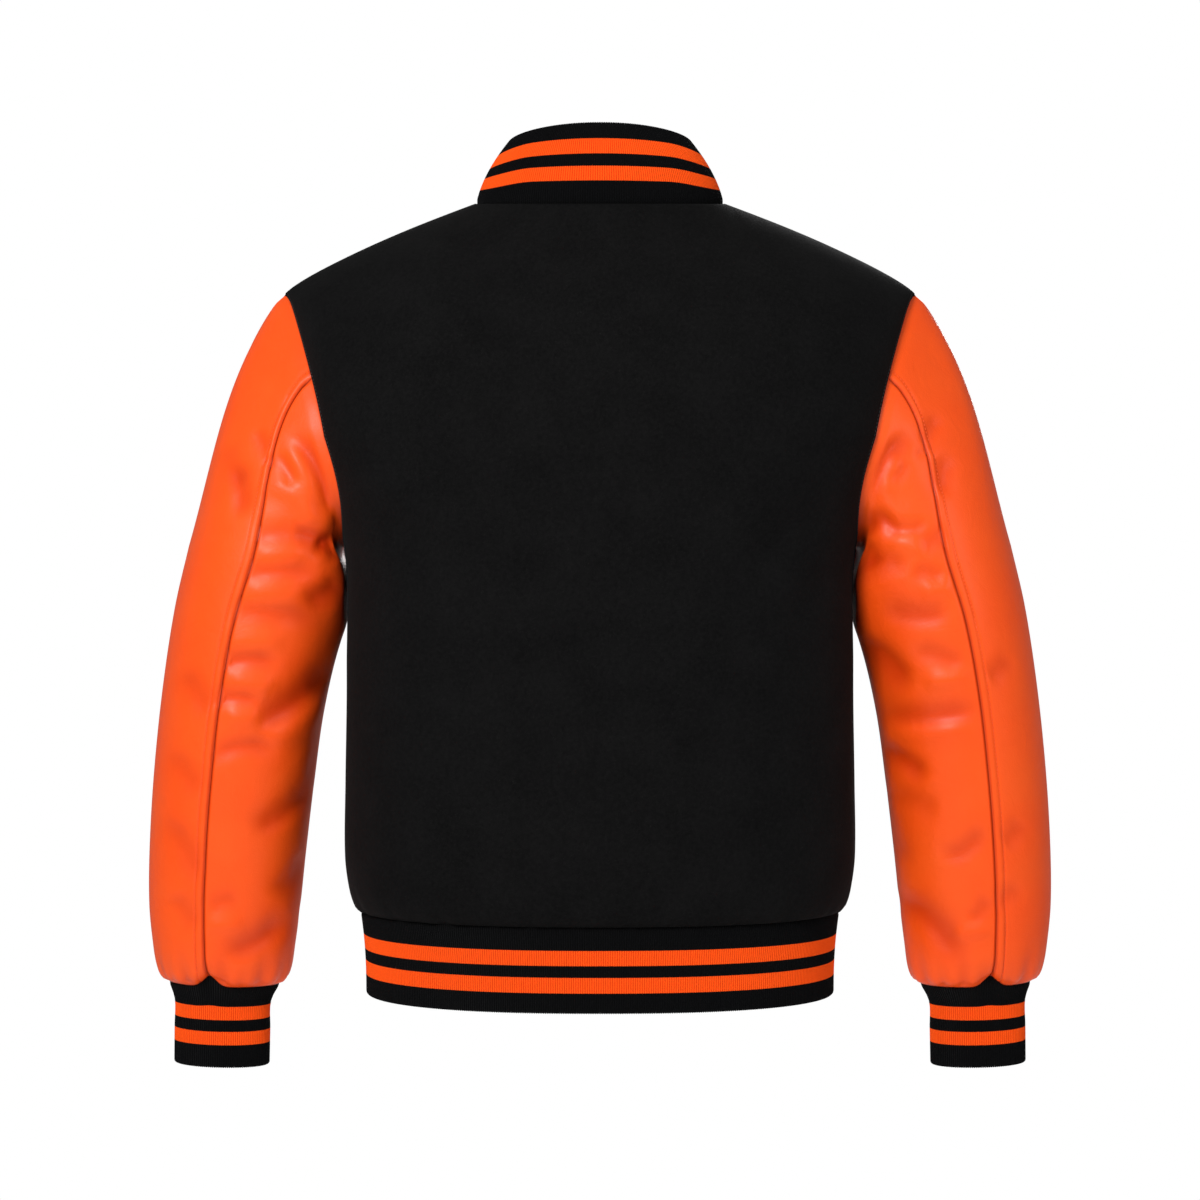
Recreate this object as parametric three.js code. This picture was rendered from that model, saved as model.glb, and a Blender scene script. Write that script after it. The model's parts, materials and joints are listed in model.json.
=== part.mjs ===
// A varsity jacket, filled out as worn: wool body, leather sleeves, and a striped rib collar, cuffs and hem.
// Millimetres, +Z up. The front faces -Y and the wearer's left is +X.
// The origin is the middle of the neck opening, level with the points where the shoulder seams meet the collar.
import * as THREE from "three";

// Walls and seams
const woolWall = 2.4;
const leatherWall = 2.0;
const ribWall = 2.6;
const halfSeam = 0.17; // each piece keeps this far from the middle of its seam
const collarGap = 0.5; // between the neck edge and the middle of the collar; their facets come closer
const layerGap = 0.6; // between the two fronts where they overlap

// Body
const chestLine = -200; // height of the section where the yoke begins
const yokeRise = 190; // nominal height from that section to the neck
const underarm = -286;
const hemSeam = -588;
const neckHalfWidth = 103;
const neckDepth = { back: 75, front: 62 };
const neckDrop = { back: 11, front: 85 };
const neckSlope = { back: 62, front: 50 }; // slope of the panel where it meets the collar, in degrees
const shoulderSlope = { back: 14, front: 34 }; // the same beside the neck, level at the shoulder's tip
const tipDrop = 4; // rounding of the cloth's corner at the shoulder's tip
const tipTilt = 36; // how far the cloth at the shoulder's tip faces outwards, from straight up
const fanReach = 24; // how far the panel's columns spread sideways from the neck before they run down
const shoulderTip = { x: 264, z: -72 };
const shoulderBulge = 3.5; // how far the shoulder seam rises above its straight line
const shoulderCrowding = 3.1; // how much closer the panel's columns stand towards the tip
const armholeDepth = { back: 74, front: 76 };
const overlap = 17; // each front reaches this far past the middle
const overlapFade = 32; // length over which the under front comes back out
const gatherFrom = { height: -208, angle: 79 }; // from here up, the outer columns draw in to that angle

// The curve up the yoke: how much of its depth, length and rise its control points take, beside the neck
// seam and at the side of the panel
const yokeCurve = {
  middleReach: 0.33,
  sideReach: 0.56,
  middleLift: 0.34,
  sideLift: 0.5,
  lowDrift: 0.36,
  highDrift: 0.7,
};

// Rib knit
const hemBottom = -655;
const ridgePitch = 3.6; // one ridge for each pair of knit ribs
const ridgeDepth = 0.7;
const ridgesPerInnerStep = 3;
const stepsPerRidge = 2;
const bandSquareness = 2.3;

// Snaps
const snapRadius = 7.5;
const snapHeight = 3;
const snapGap = 0.5;
const snapHeights = [-112, -200, -286, -372, -458, -544];
const hemSnapHeight = -622;

// Grids: columns from the middle of a panel to its side, and how many of them end on the neck seam
const halfColumns = 10;
const neckColumns = 5;
const neckAngle = (90 * neckColumns) / halfColumns;
const lapColumn = 0.5; // stands for the edge of the other front
const frontNeckColumns = [0, lapColumn, 1, 2, 3, 4, neckColumns];

// Level cuts through the body. Depths run back and forward from the plane of the side seams.
const torsoSections = [
  { name: "hem seam", z: hemSeam, halfWidth: 198.5, back: 137, front: 124, squareness: 2.3 },
  { name: "roll", z: -583, halfWidth: 203.5, back: 143.5, front: 130, squareness: 2.3 },
  { name: "blouse", z: -568, halfWidth: 208, back: 149, front: 135, squareness: 2.4 },
  { name: "low waist", z: -540, halfWidth: 211, back: 151, front: 136.5, squareness: 2.55 },
  { name: "waist", z: -480, halfWidth: 210.5, back: 150, front: 134.5, squareness: 2.6 },
  { name: "ribs", z: -390, halfWidth: 209.5, back: 149, front: 134, squareness: 2.6 },
  { name: "underarm", z: underarm, halfWidth: 212, back: 150, front: 137, squareness: 2.6 },
  { name: "chest", z: chestLine, halfWidth: 237, back: 150, front: 138, squareness: 2.75 },
];

// Cuts across the sleeve, square to the arm. lean turns the cut outwards, in degrees.
const sleeveSections = [
  { name: "upper arm", z: -306, x: 270.2, y: 0, halfWidth: 74.2, halfDepth: 74, lean: 16 },
  { name: "above elbow", z: -351, x: 284.9, y: -2, halfWidth: 70.2, halfDepth: 72.5, lean: 13 },
  { name: "elbow", z: -411, x: 297.2, y: -6, halfWidth: 67.7, halfDepth: 70, lean: 10 },
  { name: "below elbow", z: -476, x: 305.7, y: -10, halfWidth: 66.7, halfDepth: 66.5, lean: 7 },
  { name: "forearm", z: -536, x: 311.6, y: -14, halfWidth: 65.2, halfDepth: 62, lean: 4 },
  { name: "low forearm", z: -586, x: 314.8, y: -17, halfWidth: 63, halfDepth: 57.5, lean: 1.5 },
  { name: "wrist", z: -621, x: 315.5, y: -19, halfWidth: 59.2, halfDepth: 54, lean: 0 },
  { name: "roll", z: -637, x: 315.5, y: -20, halfWidth: 56.5, halfDepth: 50.5, lean: 0 },
  { name: "tuck", z: -646.5, x: 315.5, y: -20, halfWidth: 52.5, halfDepth: 45.5, lean: 0 },
  { name: "cuff seam", z: -651, x: 315.5, y: -20, halfWidth: 46.5, halfDepth: 38.5, lean: 0 },
];

// The largest folds of a sleeve. around is the angle from the outside of the arm towards the back, slant is
// measured from level, and a negative rise is a trough.
const sleeveFolds = [
  { name: "armpit drag", around: 118, z: -232, slant: -58, halfLength: 62, halfWidth: 13, rise: -5 },
  { name: "armpit drag ridge", around: 97, z: -240, slant: -60, halfLength: 55, halfWidth: 13, rise: 3.5 },
  { name: "underarm fold", around: 140, z: -318, slant: -24, halfLength: 46, halfWidth: 12, rise: -5 },
  { name: "upper level fold", around: 112, z: -347, slant: -8, halfLength: 52, halfWidth: 13, rise: 3.5 },
  { name: "middle level fold", around: 108, z: -385, slant: -6, halfLength: 48, halfWidth: 13, rise: -3.5 },
  { name: "elbow ridge", around: 100, z: -414, slant: -14, halfLength: 46, halfWidth: 14, rise: 4 },
  { name: "elbow trough", around: 122, z: -448, slant: -30, halfLength: 50, halfWidth: 13, rise: -4.5 },
  { name: "forearm ridge", around: 110, z: -505, slant: -36, halfLength: 55, halfWidth: 16, rise: 3.5 },
  { name: "wrist trough", around: 118, z: -580, slant: -32, halfLength: 50, halfWidth: 15, rise: -4 },
  { name: "wrist ridge", around: 86, z: -604, slant: -10, halfLength: 36, halfWidth: 13, rise: 3 },
  { name: "front elbow trough", around: 262, z: -420, slant: 12, halfLength: 55, halfWidth: 14, rise: -4.5 },
  { name: "front elbow ridge", around: 268, z: -388, slant: 10, halfLength: 50, halfWidth: 14, rise: 3.5 },
  { name: "front armpit drag", around: 236, z: -242, slant: 58, halfLength: 60, halfWidth: 13, rise: -4.5 },
  { name: "front wrist trough", around: 250, z: -572, slant: 28, halfLength: 50, halfWidth: 15, rise: -3.5 },
];

// Heights of the rows of a body panel, measured from the chest line
const lowerRows = [-388, -383, -376, -364, -346, -312, -268, -208, -146];
const armholeRows = [-80, -69, -52, -28, 0, 25, 49, 83, 116, 145, 171, yokeRise];
const underarmRow = underarm - chestLine;
const panelRows = [...lowerRows, underarmRow, ...armholeRows];

// How far along the sleeve head each ring lies, from the armhole to the upper arm, then the heights of the rest
const sleeveHeadRings = [0, 0.05, 0.12, 0.22, 0.35, 0.5, 0.66, 0.83];
const sleeveRings = [
  -306, -328, -351, -376, -402, -428, -454, -480, -508, -536, -562, -586, -607, -622, -633, -641, -647, -651,
];
const sleeveSeamAngle = { back: 81, front: 228 };
const sleeveSeams = { back: 5, front: 15 }; // the points of the armhole's ring where the two sleeve seams start
const armRadius = 68; // about the arm's size, for laying out the folds
const bodyClearance = 1.5; // the nearest that the sleeve hangs to the body
const clearanceSoftness = 2;

// How the sleeve leaves the armhole: shares across the seam, out of the cloth and down, and how strongly
const sleeveLeave = { away: 0.5, out: 0.7, down: 0.54, strength: 0.95 };
const leaveEvening = 2; // passes that even out how the sleeve leaves the armhole
const headRounding = [0, 0.12, 0.11, 0.05]; // fuller beside the shoulder tip, by places from it

// Rows of a sleeve, counted from each end, over which its folds come in
const foldFade = { headFrom: 1, headTo: 5, cuffFrom: 2, cuffTo: 7 };

const toRadians = THREE.MathUtils.degToRad;
const clamp = THREE.MathUtils.clamp;
const lerp = THREE.MathUtils.lerp;
const smoothstep = THREE.MathUtils.smoothstep;
const vec = (x, y, z) => new THREE.Vector3(x, y, z);

// The value between two limits up to which a test holds.
function solve(low, high, holds) {
  let [from, to] = [low, high];
  for (let i = 0; i < 40; i += 1) {
    const middle = (from + to) / 2;
    if (holds(middle)) from = middle;
    else to = middle;
  }
  return from;
}

// One column of a table at a place between its rows, on a smooth curve through them.
function between(rows, place, column, at) {
  const last = rows.length - 1;
  const rising = rows[last][place] > rows[0][place];
  let i = 0;
  while (i < last - 1 && (rising ? at > rows[i + 1][place] : at < rows[i + 1][place])) i += 1;
  const slopeAt = (k) => {
    const before = rows[Math.max(0, k - 1)];
    const after = rows[Math.min(last, k + 1)];
    return (after[column] - before[column]) / (after[place] - before[place]);
  };
  const step = rows[i + 1][place] - rows[i][place];
  const t = clamp((at - rows[i][place]) / step, 0, 1);
  return hermite(rows[i][column], rows[i + 1][column], slopeAt(i) * step, slopeAt(i + 1) * step, t);
}

function hermite(start, end, leave, arrive, t) {
  const s = 1 - t;
  return start * s * s * (1 + 2 * t) + leave * t * s * s + end * t * t * (1 + 2 * s) - arrive * s * t * t;
}

const cubic = (a, b, c, d, t) =>
  a * (1 - t) ** 3 + 3 * b * t * (1 - t) ** 2 + 3 * c * t * t * (1 - t) + d * t ** 3;

// Distance from the body's axis to a rounded rectangle, at an angle from its middle, in degrees.
function sectionRadius(angle, halfWidth, depth, squareness) {
  const across = Math.abs(Math.sin(toRadians(angle))) / halfWidth;
  const along = Math.abs(Math.cos(toRadians(angle))) / depth;
  return (across ** squareness + along ** squareness) ** (-1 / squareness);
}

const facing = { back: 1, front: -1 };

// A point of the back or front below the yoke. The angle runs from the panel's middle to the wearer's left.
function sectionPoint(side, angle, z) {
  const size = (column) => between(torsoSections, "z", column, z);
  const radius = sectionRadius(angle, size("halfWidth"), size(side), size("squareness"));
  const turned = toRadians(angle);
  return vec(radius * Math.sin(turned), facing[side] * radius * Math.cos(turned), z);
}

// The top edge of the back or front: the neck seam, then the shoulder seam out to its tip.
function topEdge(side, angle) {
  const turned = Math.abs(angle);
  const hand = Math.sign(angle) || 1;
  if (turned <= neckAngle) {
    const quarter = toRadians((90 * turned) / neckAngle);
    const cosine = Math.cos(quarter);
    const drop = neckDrop[side] * cosine ** (side === "front" ? 1.3 : 1);
    return vec(hand * neckHalfWidth * Math.sin(quarter), facing[side] * neckDepth[side] * cosine, -drop);
  }
  const out = alongShoulder(turned);
  const lift = shoulderBulge * Math.sin(Math.PI * out) - tipDrop * out ** 12;
  return vec(hand * lerp(neckHalfWidth, shoulderTip.x, out), 0, shoulderTip.z * out + lift);
}

// How far along the shoulder seam an angle lies, from the neck to the tip.
function alongShoulder(turned) {
  const left = clamp((90 - turned) / (90 - neckAngle), 0, 1);
  return 1 - left ** shoulderCrowding;
}

// A point of the yoke, on a curve from the chest line up to the top edge. rise runs from 0 to 1.
function yokePoint(side, angle, rise) {
  const turned = Math.abs(angle);
  const foot = sectionPoint(side, angle, chestLine);
  const top = topEdge(side, angle);
  const quarter = toRadians(90 * Math.min(1, turned / neckAngle));
  const middle = Math.cos(quarter);
  const inside = 1 - alongShoulder(turned);
  const slope = toRadians(lerp(shoulderSlope[side] * inside, neckSlope[side], middle));
  const depth = Math.abs(foot.y - top.y);
  const { middleReach, sideReach, middleLift, sideLift, lowDrift, highDrift } = yokeCurve;
  const reach = lerp(sideReach * depth, middleReach * foot.distanceTo(top), middle);
  const lift = lerp(sideLift, middleLift, middle) * (top.z - foot.z);
  const fan = fanReach * Math.sin(quarter) * inside ** 2;
  const fall = reach * Math.sin(slope) + (fan * -shoulderTip.z) / (shoulderTip.x - neckHalfWidth);
  const spread = lerp(foot.x, top.x, highDrift) + fan * Math.sign(angle);
  const x = cubic(foot.x, lerp(foot.x, top.x, lowDrift), spread, top.x, rise);
  const y = cubic(foot.y, foot.y, top.y + facing[side] * reach * Math.cos(slope), top.y, rise);
  const z = cubic(foot.z, foot.z + lift, top.z - fall, top.z, rise);
  return vec(x, y, z);
}

// A point of the body's outer surface. Heights are measured from the chest line.
function bodyPoint(side, angle, height) {
  return height <= 0
    ? sectionPoint(side, angle, chestLine + height)
    : yokePoint(side, angle, height / yokeRise);
}

const shoulderLine = (hand) => vec(hand * (shoulderTip.x - neckHalfWidth), 0, shoulderTip.z).normalize();

function bodyNormal(side, angle, height) {
  const step = 0.4;
  const low = Math.min(height, yokeRise - step);
  const onShoulder = height >= yokeRise && Math.abs(angle) >= neckAngle;
  const hand = Math.sign(angle);
  if (onShoulder && Math.abs(angle) === 90) {
    return vec(hand * Math.sin(toRadians(tipTilt)), 0, Math.cos(toRadians(tipTilt)));
  }
  const across = onShoulder
    ? shoulderLine(hand).multiplyScalar(hand)
    : bodyPoint(side, angle + step, height).sub(bodyPoint(side, angle - step, height));
  const up = bodyPoint(side, angle, low + step).sub(bodyPoint(side, angle, low - step));
  return across.cross(up).multiplyScalar(-facing[side]).normalize();
}

// The direction across the neck seam, out of the body.
function neckAway(side, angle) {
  if (Math.abs(angle) >= neckAngle) return shoulderLine(Math.sign(angle)).negate();
  const step = 0.4;
  const along = bodyPoint(side, angle + step, yokeRise).sub(bodyPoint(side, angle - step, yokeRise));
  return bodyNormal(side, angle, yokeRise).cross(along).multiplyScalar(-facing[side]).normalize();
}

// Half the armhole's depth at a height: an oval from the underarm to the shoulder tip, fuller below.
function armholeReach(side, z) {
  const up = clamp((z - underarm) / (shoulderTip.z - tipDrop - underarm), 0, 1);
  return armholeDepth[side] * 2 * Math.sqrt(up * (1 - up)) * (1.25 - 0.5 * up);
}

// The angle at which a row of a panel ends: the side seam, or the armhole above it.
function edgeAngle(side, height) {
  if (height <= underarmRow || height >= yokeRise) return 90;
  return solve(neckAngle, 90, (angle) => {
    const p = bodyPoint(side, angle, height);
    return Math.abs(p.y) > armholeReach(side, p.z);
  });
}

// The armhole as a ring of points from the shoulder tip down the back, under the arm and up the front.
// away is the direction across the seam, out of the body.
function armholeRing(hand) {
  const stop = (side, height) => {
    const angle = hand * edgeAngle(side, height);
    return { side, height, outer: bodyPoint(side, angle, height), normal: bodyNormal(side, angle, height) };
  };
  const middleRows = armholeRows.slice(0, -1);
  const ring = [
    stop("back", yokeRise),
    ...[...middleRows].reverse().map((height) => stop("back", height)),
    stop("back", underarmRow),
    ...middleRows.map((height) => stop("front", height)),
  ];
  ring.forEach((p, i) => {
    const next = ring[(i + 1) % ring.length].outer;
    const last = ring[(i + ring.length - 1) % ring.length].outer;
    p.away = next.clone().sub(last).cross(p.normal).multiplyScalar(hand).normalize();
  });
  return ring;
}

const armholes = { 1: armholeRing(1), "-1": armholeRing(-1) };

// Where the under front is pushed in, so that the other front lies on it.
const underLap = (x) => (woolWall + layerGap) * smoothstep(x, -overlap - overlapFade, -overlap - 2);

// The angle of a column in one row. The columns near the side draw together before the armhole cuts them off.
function columnAngle(side, height, column) {
  const place = Math.abs(column);
  const edge = edgeAngle(side, height);
  const gathered = smoothstep(height, gatherFrom.height, underarmRow);
  const limit = Math.min(edge, lerp(90, gatherFrom.angle, gathered));
  const outer = (place - neckColumns) / (halfColumns - neckColumns);
  const turned = place <= neckColumns ? (neckAngle * place) / neckColumns : lerp(neckAngle, limit, outer);
  return Math.sign(column) * (place === halfColumns ? edge : turned);
}

// The angle at which a row is as far from the middle as the fronts overlap.
function lapAngle(side, height) {
  return solve(0, neckAngle, (angle) => bodyPoint(side, angle, height).x < overlap);
}

// A row of one panel, as pairs of outer and inner points, from one angle fraction to the other.
function panelRow(side, height, columns, lapped) {
  const edge = edgeAngle(side, height);
  const atHem = height === panelRows[0];
  const atTop = height === yokeRise;
  return columns.map((column) => {
    const isLap = Math.abs(column) === lapColumn;
    const angle = isLap ? Math.sign(column) * lapAngle(side, height) : columnAngle(side, height, column);
    const hand = Math.sign(column) || 1;
    const atEdge = Math.abs(column) === halfColumns;
    const atTip = atEdge && atTop;
    const normal = bodyNormal(side, angle, height);
    const outer = bodyPoint(side, angle, height);
    if (lapped) outer.addScaledVector(normal, -underLap(outer.x));
    if (atEdge && height >= underarmRow) {
      const meets = (p) => p.height === height && (p.side === side || atTip || edge === 90);
      outer.addScaledVector(armholes[hand].find(meets).away, -halfSeam);
    }
    const inner = outer.clone().addScaledVector(normal, -woolWall);
    for (const p of [outer, inner]) {
      const onSeam = (atEdge && edge === 90) || (atTop && Math.abs(angle) >= neckAngle);
      if (onSeam) p.y = facing[side] * Math.max(halfSeam, facing[side] * p.y);
      if (atTop && Math.abs(angle) <= neckAngle) p.addScaledVector(neckAway(side, angle), -halfSeam);
      if (atHem) p.z = hemSeam + halfSeam;
    }
    return { outer, inner, normal, angle };
  });
}

// A closed wall between an outer and an inner grid. The outer one may have several columns for each inner one.
function clothWall(outer, inner, closed = false) {
  const positions = [];
  const put = (grid) => {
    const first = positions.length / 3;
    const width = grid[0].length;
    for (const row of grid) for (const p of row) positions.push(p.x, p.y, p.z);
    return (row, column) => first + row * width + (closed ? column % width : column);
  };
  const out = put(outer);
  const inside = put(inner);
  const rows = outer.length - 1;
  const steps = (grid) => grid[0].length - (closed ? 0 : 1);
  const perInner = Math.round(steps(outer) / steps(inner));
  const index = [];
  const quad = (a, b, c, d) => index.push(a, b, c, a, c, d);
  for (let r = 0; r < rows; r += 1) {
    for (let c = 0; c < steps(outer); c += 1) quad(out(r, c), out(r, c + 1), out(r + 1, c + 1), out(r + 1, c));
    for (let c = 0; c < steps(inner); c += 1) {
      quad(inside(r, c), inside(r + 1, c), inside(r + 1, c + 1), inside(r, c + 1));
    }
  }
  const rim = (row, add) => {
    for (let c = 0; c < steps(inner); c += 1) {
      const half = Math.ceil(perInner / 2);
      for (let k = 0; k < perInner; k += 1) {
        const o = c * perInner + k;
        add(inside(row, k < half ? c : c + 1), out(row, o + 1), out(row, o));
        if (k === half - 1) add(inside(row, c), inside(row, c + 1), out(row, o + 1));
      }
    }
  };
  rim(0, (a, b, c) => index.push(a, b, c));
  rim(rows, (a, b, c) => index.push(a, c, b));
  if (!closed) {
    const [lastOut, lastIn] = [steps(outer), steps(inner)];
    for (let r = 0; r < rows; r += 1) {
      quad(inside(r, 0), out(r, 0), out(r + 1, 0), inside(r + 1, 0));
      quad(inside(r, lastIn), inside(r + 1, lastIn), out(r + 1, lastOut), out(r, lastOut));
    }
  }
  const geometry = new THREE.BufferGeometry();
  geometry.setAttribute("position", new THREE.Float32BufferAttribute(positions, 3));
  geometry.setIndex(signedVolume(positions, index) < 0 ? turned(index) : index);
  geometry.computeVertexNormals();
  return geometry;
}

function signedVolume(positions, index) {
  const corner = (i) => vec(...positions.slice(3 * i, 3 * i + 3));
  let volume = 0;
  for (let i = 0; i < index.length; i += 3) {
    volume += corner(index[i]).dot(corner(index[i + 1]).cross(corner(index[i + 2])));
  }
  return volume;
}

function turned(index) {
  const result = [];
  for (let i = 0; i < index.length; i += 3) result.push(index[i], index[i + 2], index[i + 1]);
  return result;
}

const wallOfPairs = (rows, closed) =>
  clothWall(
    rows.map((row) => row.map((p) => p.outer)),
    rows.map((row) => row.map((p) => p.inner)),
    closed,
  );

const range = (from, to) => Array.from({ length: to - from + 1 }, (_, i) => from + i);

const backColumns = range(-halfColumns, halfColumns);
const leftFrontColumns = [-lapColumn, ...frontNeckColumns, ...range(neckColumns + 1, halfColumns)];
const rightFrontColumns = leftFrontColumns.map((column) => -column).reverse();

const panelWall = (side, columns, lapped) =>
  wallOfPairs(panelRows.map((height) => panelRow(side, height, columns, lapped)));

// How far the folds of a sleeve lift its surface at one point.
function foldRise(around, z) {
  return sleeveFolds.reduce((sum, fold) => {
    const along = armRadius * toRadians(around - fold.around);
    const down = fold.z - z;
    const slant = toRadians(fold.slant);
    const length = along * Math.cos(slant) - down * Math.sin(slant);
    const width = along * Math.sin(slant) + down * Math.cos(slant);
    const fade = Math.exp(-((length / fold.halfLength) ** 4));
    return sum + fold.rise * fade * Math.exp(-((width / fold.halfWidth) ** 2));
  }, 0);
}

// The sleeve's cut through one height of its table, as a point at an angle from the outside of the arm.
function sleeveSectionPoint(hand, around, z) {
  const size = (column) => between(sleeveSections, "z", column, z);
  const turnedBy = toRadians(around);
  const lean = toRadians(size("lean"));
  const across = size("halfWidth") * Math.cos(turnedBy);
  const x = size("x") + across * Math.cos(lean);
  return vec(hand * x, size("y") + size("halfDepth") * Math.sin(turnedBy), z + across * Math.sin(lean));
}

// Holds a sleeve point clear of the body beside it.
function besideBody(p, hand) {
  const z = Math.min(p.z, underarm);
  const size = (column) => between(torsoSections, "z", column, z);
  const depth = size(p.y > 0 ? "back" : "front");
  const share = Math.min(1, Math.abs(p.y) / depth) ** size("squareness");
  const limit = size("halfWidth") * (1 - share) ** (1 / size("squareness")) + bodyClearance;
  const x = Math.abs(p.x);
  p.x = (hand * (x + limit + Math.hypot(x - limit, clearanceSoftness))) / 2;
  return p;
}

// The angle around the arm that each point of the armhole ring leads to.
function aroundAngles(ring, seams) {
  const underIndex = ring.findIndex((p) => p.height === underarmRow);
  const stops = [
    [0, 0],
    [seams.back, sleeveSeamAngle.back],
    [underIndex, 180],
    [seams.front, sleeveSeamAngle.front],
    [ring.length, 360],
  ];
  return ring.map((_, i) => {
    const k = stops.findIndex(([at]) => at > i);
    const [[a, from], [b, to]] = [stops[k - 1], stops[k]];
    return lerp(from, to, (i - a) / (b - a));
  });
}

// How far and which way the head of a sleeve leaves each point of the armhole.
function sleeveLeaves(ring, feet) {
  let leaves = ring.map((start, i) => {
    const leave = start.away.clone().multiplyScalar(sleeveLeave.away);
    leave.addScaledVector(start.normal, sleeveLeave.out).add(vec(0, 0, -sleeveLeave.down));
    return leave.setLength(feet[i].distanceTo(start.outer) * sleeveLeave.strength);
  });
  const count = ring.length;
  const at = (i) => leaves[(i + count) % count];
  const evened = (leave, i) => leave.clone().multiplyScalar(2).add(at(i - 1)).add(at(i + 1)).divideScalar(4);
  for (let pass = 0; pass < leaveEvening; pass += 1) leaves = leaves.map(evened);
  const fuller = (i) => 1 + (headRounding[Math.min(i, count - i)] ?? 0);
  return leaves.map((leave, i) => leave.clone().multiplyScalar(fuller(i)));
}

// The outer surface of a whole sleeve, as rings from the armhole to the cuff seam.
function sleeveRingsOf(hand) {
  const ring = armholes[hand];
  const angles = aroundAngles(ring, sleeveSeams);
  const [upperArm] = sleeveRings;
  const lean = toRadians(sleeveSections[0].lean);
  const arm = vec(hand * Math.sin(lean), 0, -Math.cos(lean));
  const feet = angles.map((angle) => besideBody(sleeveSectionPoint(hand, angle, upperArm), hand));
  const leaves = sleeveLeaves(ring, feet);
  const head = sleeveHeadRings.map((t) =>
    ring.map((start, i) => {
      const [foot, leave] = [feet[i], leaves[i]];
      const arrive = arm.clone().multiplyScalar(foot.distanceTo(start.outer));
      const axis = (key) => hermite(start.outer[key], foot[key], leave[key], arrive[key], t);
      return vec(axis("x"), axis("y"), axis("z"));
    }),
  );
  const tubePoint = (angle, z) => besideBody(sleeveSectionPoint(hand, angle, z), hand);
  const tube = sleeveRings.map((z) => angles.map((angle) => tubePoint(angle, z)));
  return { grid: [...head, ...tube], angles };
}

function gridNormal(grid, row, column) {
  const width = grid[row].length;
  const above = grid[Math.max(0, row - 1)][column];
  const below = grid[Math.min(grid.length - 1, row + 1)][column];
  const next = grid[row][(column + 1) % width];
  const last = grid[row][(column + width - 1) % width];
  return next.clone().sub(last).cross(above.clone().sub(below)).normalize();
}

// The sleeve as rings of outer and inner points, with its folds.
function sleevePairs(hand) {
  const { grid, angles } = sleeveRingsOf(hand);
  const { headFrom, headTo, cuffFrom, cuffTo } = foldFade;
  const creased = grid.map((ring, r) =>
    ring.map((p, c) => {
      const fromEnds = smoothstep(r, headFrom, headTo) * smoothstep(grid.length - r, cuffFrom, cuffTo);
      const normal = gridNormal(grid, r, c).multiplyScalar(hand);
      return p.clone().addScaledVector(normal, foldRise(angles[c], p.z) * fromEnds);
    }),
  );
  return creased.map((ring, r) =>
    ring.map((p, c) => {
      const start = armholes[hand][c];
      if (r === 0) {
        const outer = p.clone().addScaledVector(start.away, halfSeam);
        return { outer, inner: outer.clone().addScaledVector(start.normal, -woolWall) };
      }
      const outer = r < sleeveHeadRings.length ? p : besideBody(p, hand);
      const normal = gridNormal(creased, r, c).multiplyScalar(hand);
      const inner = outer.clone().addScaledVector(normal, -leatherWall);
      if (r === creased.length - 1) inner.z = p.z;
      return { outer, inner };
    }),
  );
}

// One panel of a sleeve: the columns from one seam to the other, drawn in from both.
function sleevePanel(pairs, from, to) {
  const width = pairs[0].length;
  return wallOfPairs(
    pairs.map((ring) => {
      const row = range(from, to).map((c) => {
        const { outer, inner } = ring[(c + width) % width];
        return { outer: outer.clone(), inner: inner.clone() };
      });
      const drawIn = (edge, neighbour) => {
        const shift = neighbour.outer.clone().sub(edge.outer).setLength(halfSeam * 1.15);
        edge.outer.add(shift);
        edge.inner.add(shift);
      };
      drawIn(row[0], row[1]);
      drawIn(row[row.length - 1], row[row.length - 2]);
      return row;
    }),
  );
}

// Places along a curve, spaced evenly by its real length. The curve is a function from 0 to 1.
function evenly(curve, count, samples = 1500) {
  const lengths = [0];
  let last = curve(0);
  for (let i = 1; i <= samples; i += 1) {
    const p = curve(i / samples);
    lengths.push(lengths[i - 1] + p.distanceTo(last));
    last = p;
  }
  const total = lengths[samples];
  let k = 0;
  const places = Array.from({ length: count + 1 }, (_, i) => {
    const target = (total * i) / count;
    while (k < samples - 1 && lengths[k + 1] < target) k += 1;
    return (k + (target - lengths[k]) / (lengths[k + 1] - lengths[k])) / samples;
  });
  return { places, total };
}

// A band of rib knit. pointAt gives the outer point at a place along the band and a row, and outAt the way out.
function ribBand(pointAt, outAt, rows, closed) {
  const topEdgeOfBand = (t) => pointAt(t, rows[rows.length - 1]);
  const innerSteps = Math.round(evenly(topEdgeOfBand, 1).total / (ridgePitch * ridgesPerInnerStep));
  const outerPerInner = ridgesPerInnerStep * stepsPerRidge;
  const { places } = evenly(topEdgeOfBand, innerSteps * outerPerInner);
  const used = closed ? places.slice(0, -1) : places;
  const place = (t, row, raise) => pointAt(t, row).addScaledVector(outAt(t, row), raise);
  const outer = rows.map((row) => used.map((t, i) => place(t, row, i % 2 ? ridgeDepth : 0)));
  const innerPlaces = used.filter((_, i) => i % outerPerInner === 0);
  const inner = rows.map((row) => innerPlaces.map((t) => place(t, row, -ribWall)));
  return clothWall(outer, inner, closed);
}

// The hem band: from the middle of the left front round the back and under itself on the right front.
const hemRows = [
  { z: hemBottom, halfWidth: 193.3, back: 132, front: 120 },
  { z: hemSeam - halfSeam, halfWidth: 198, back: 136.5, front: 123.5 },
];

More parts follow.
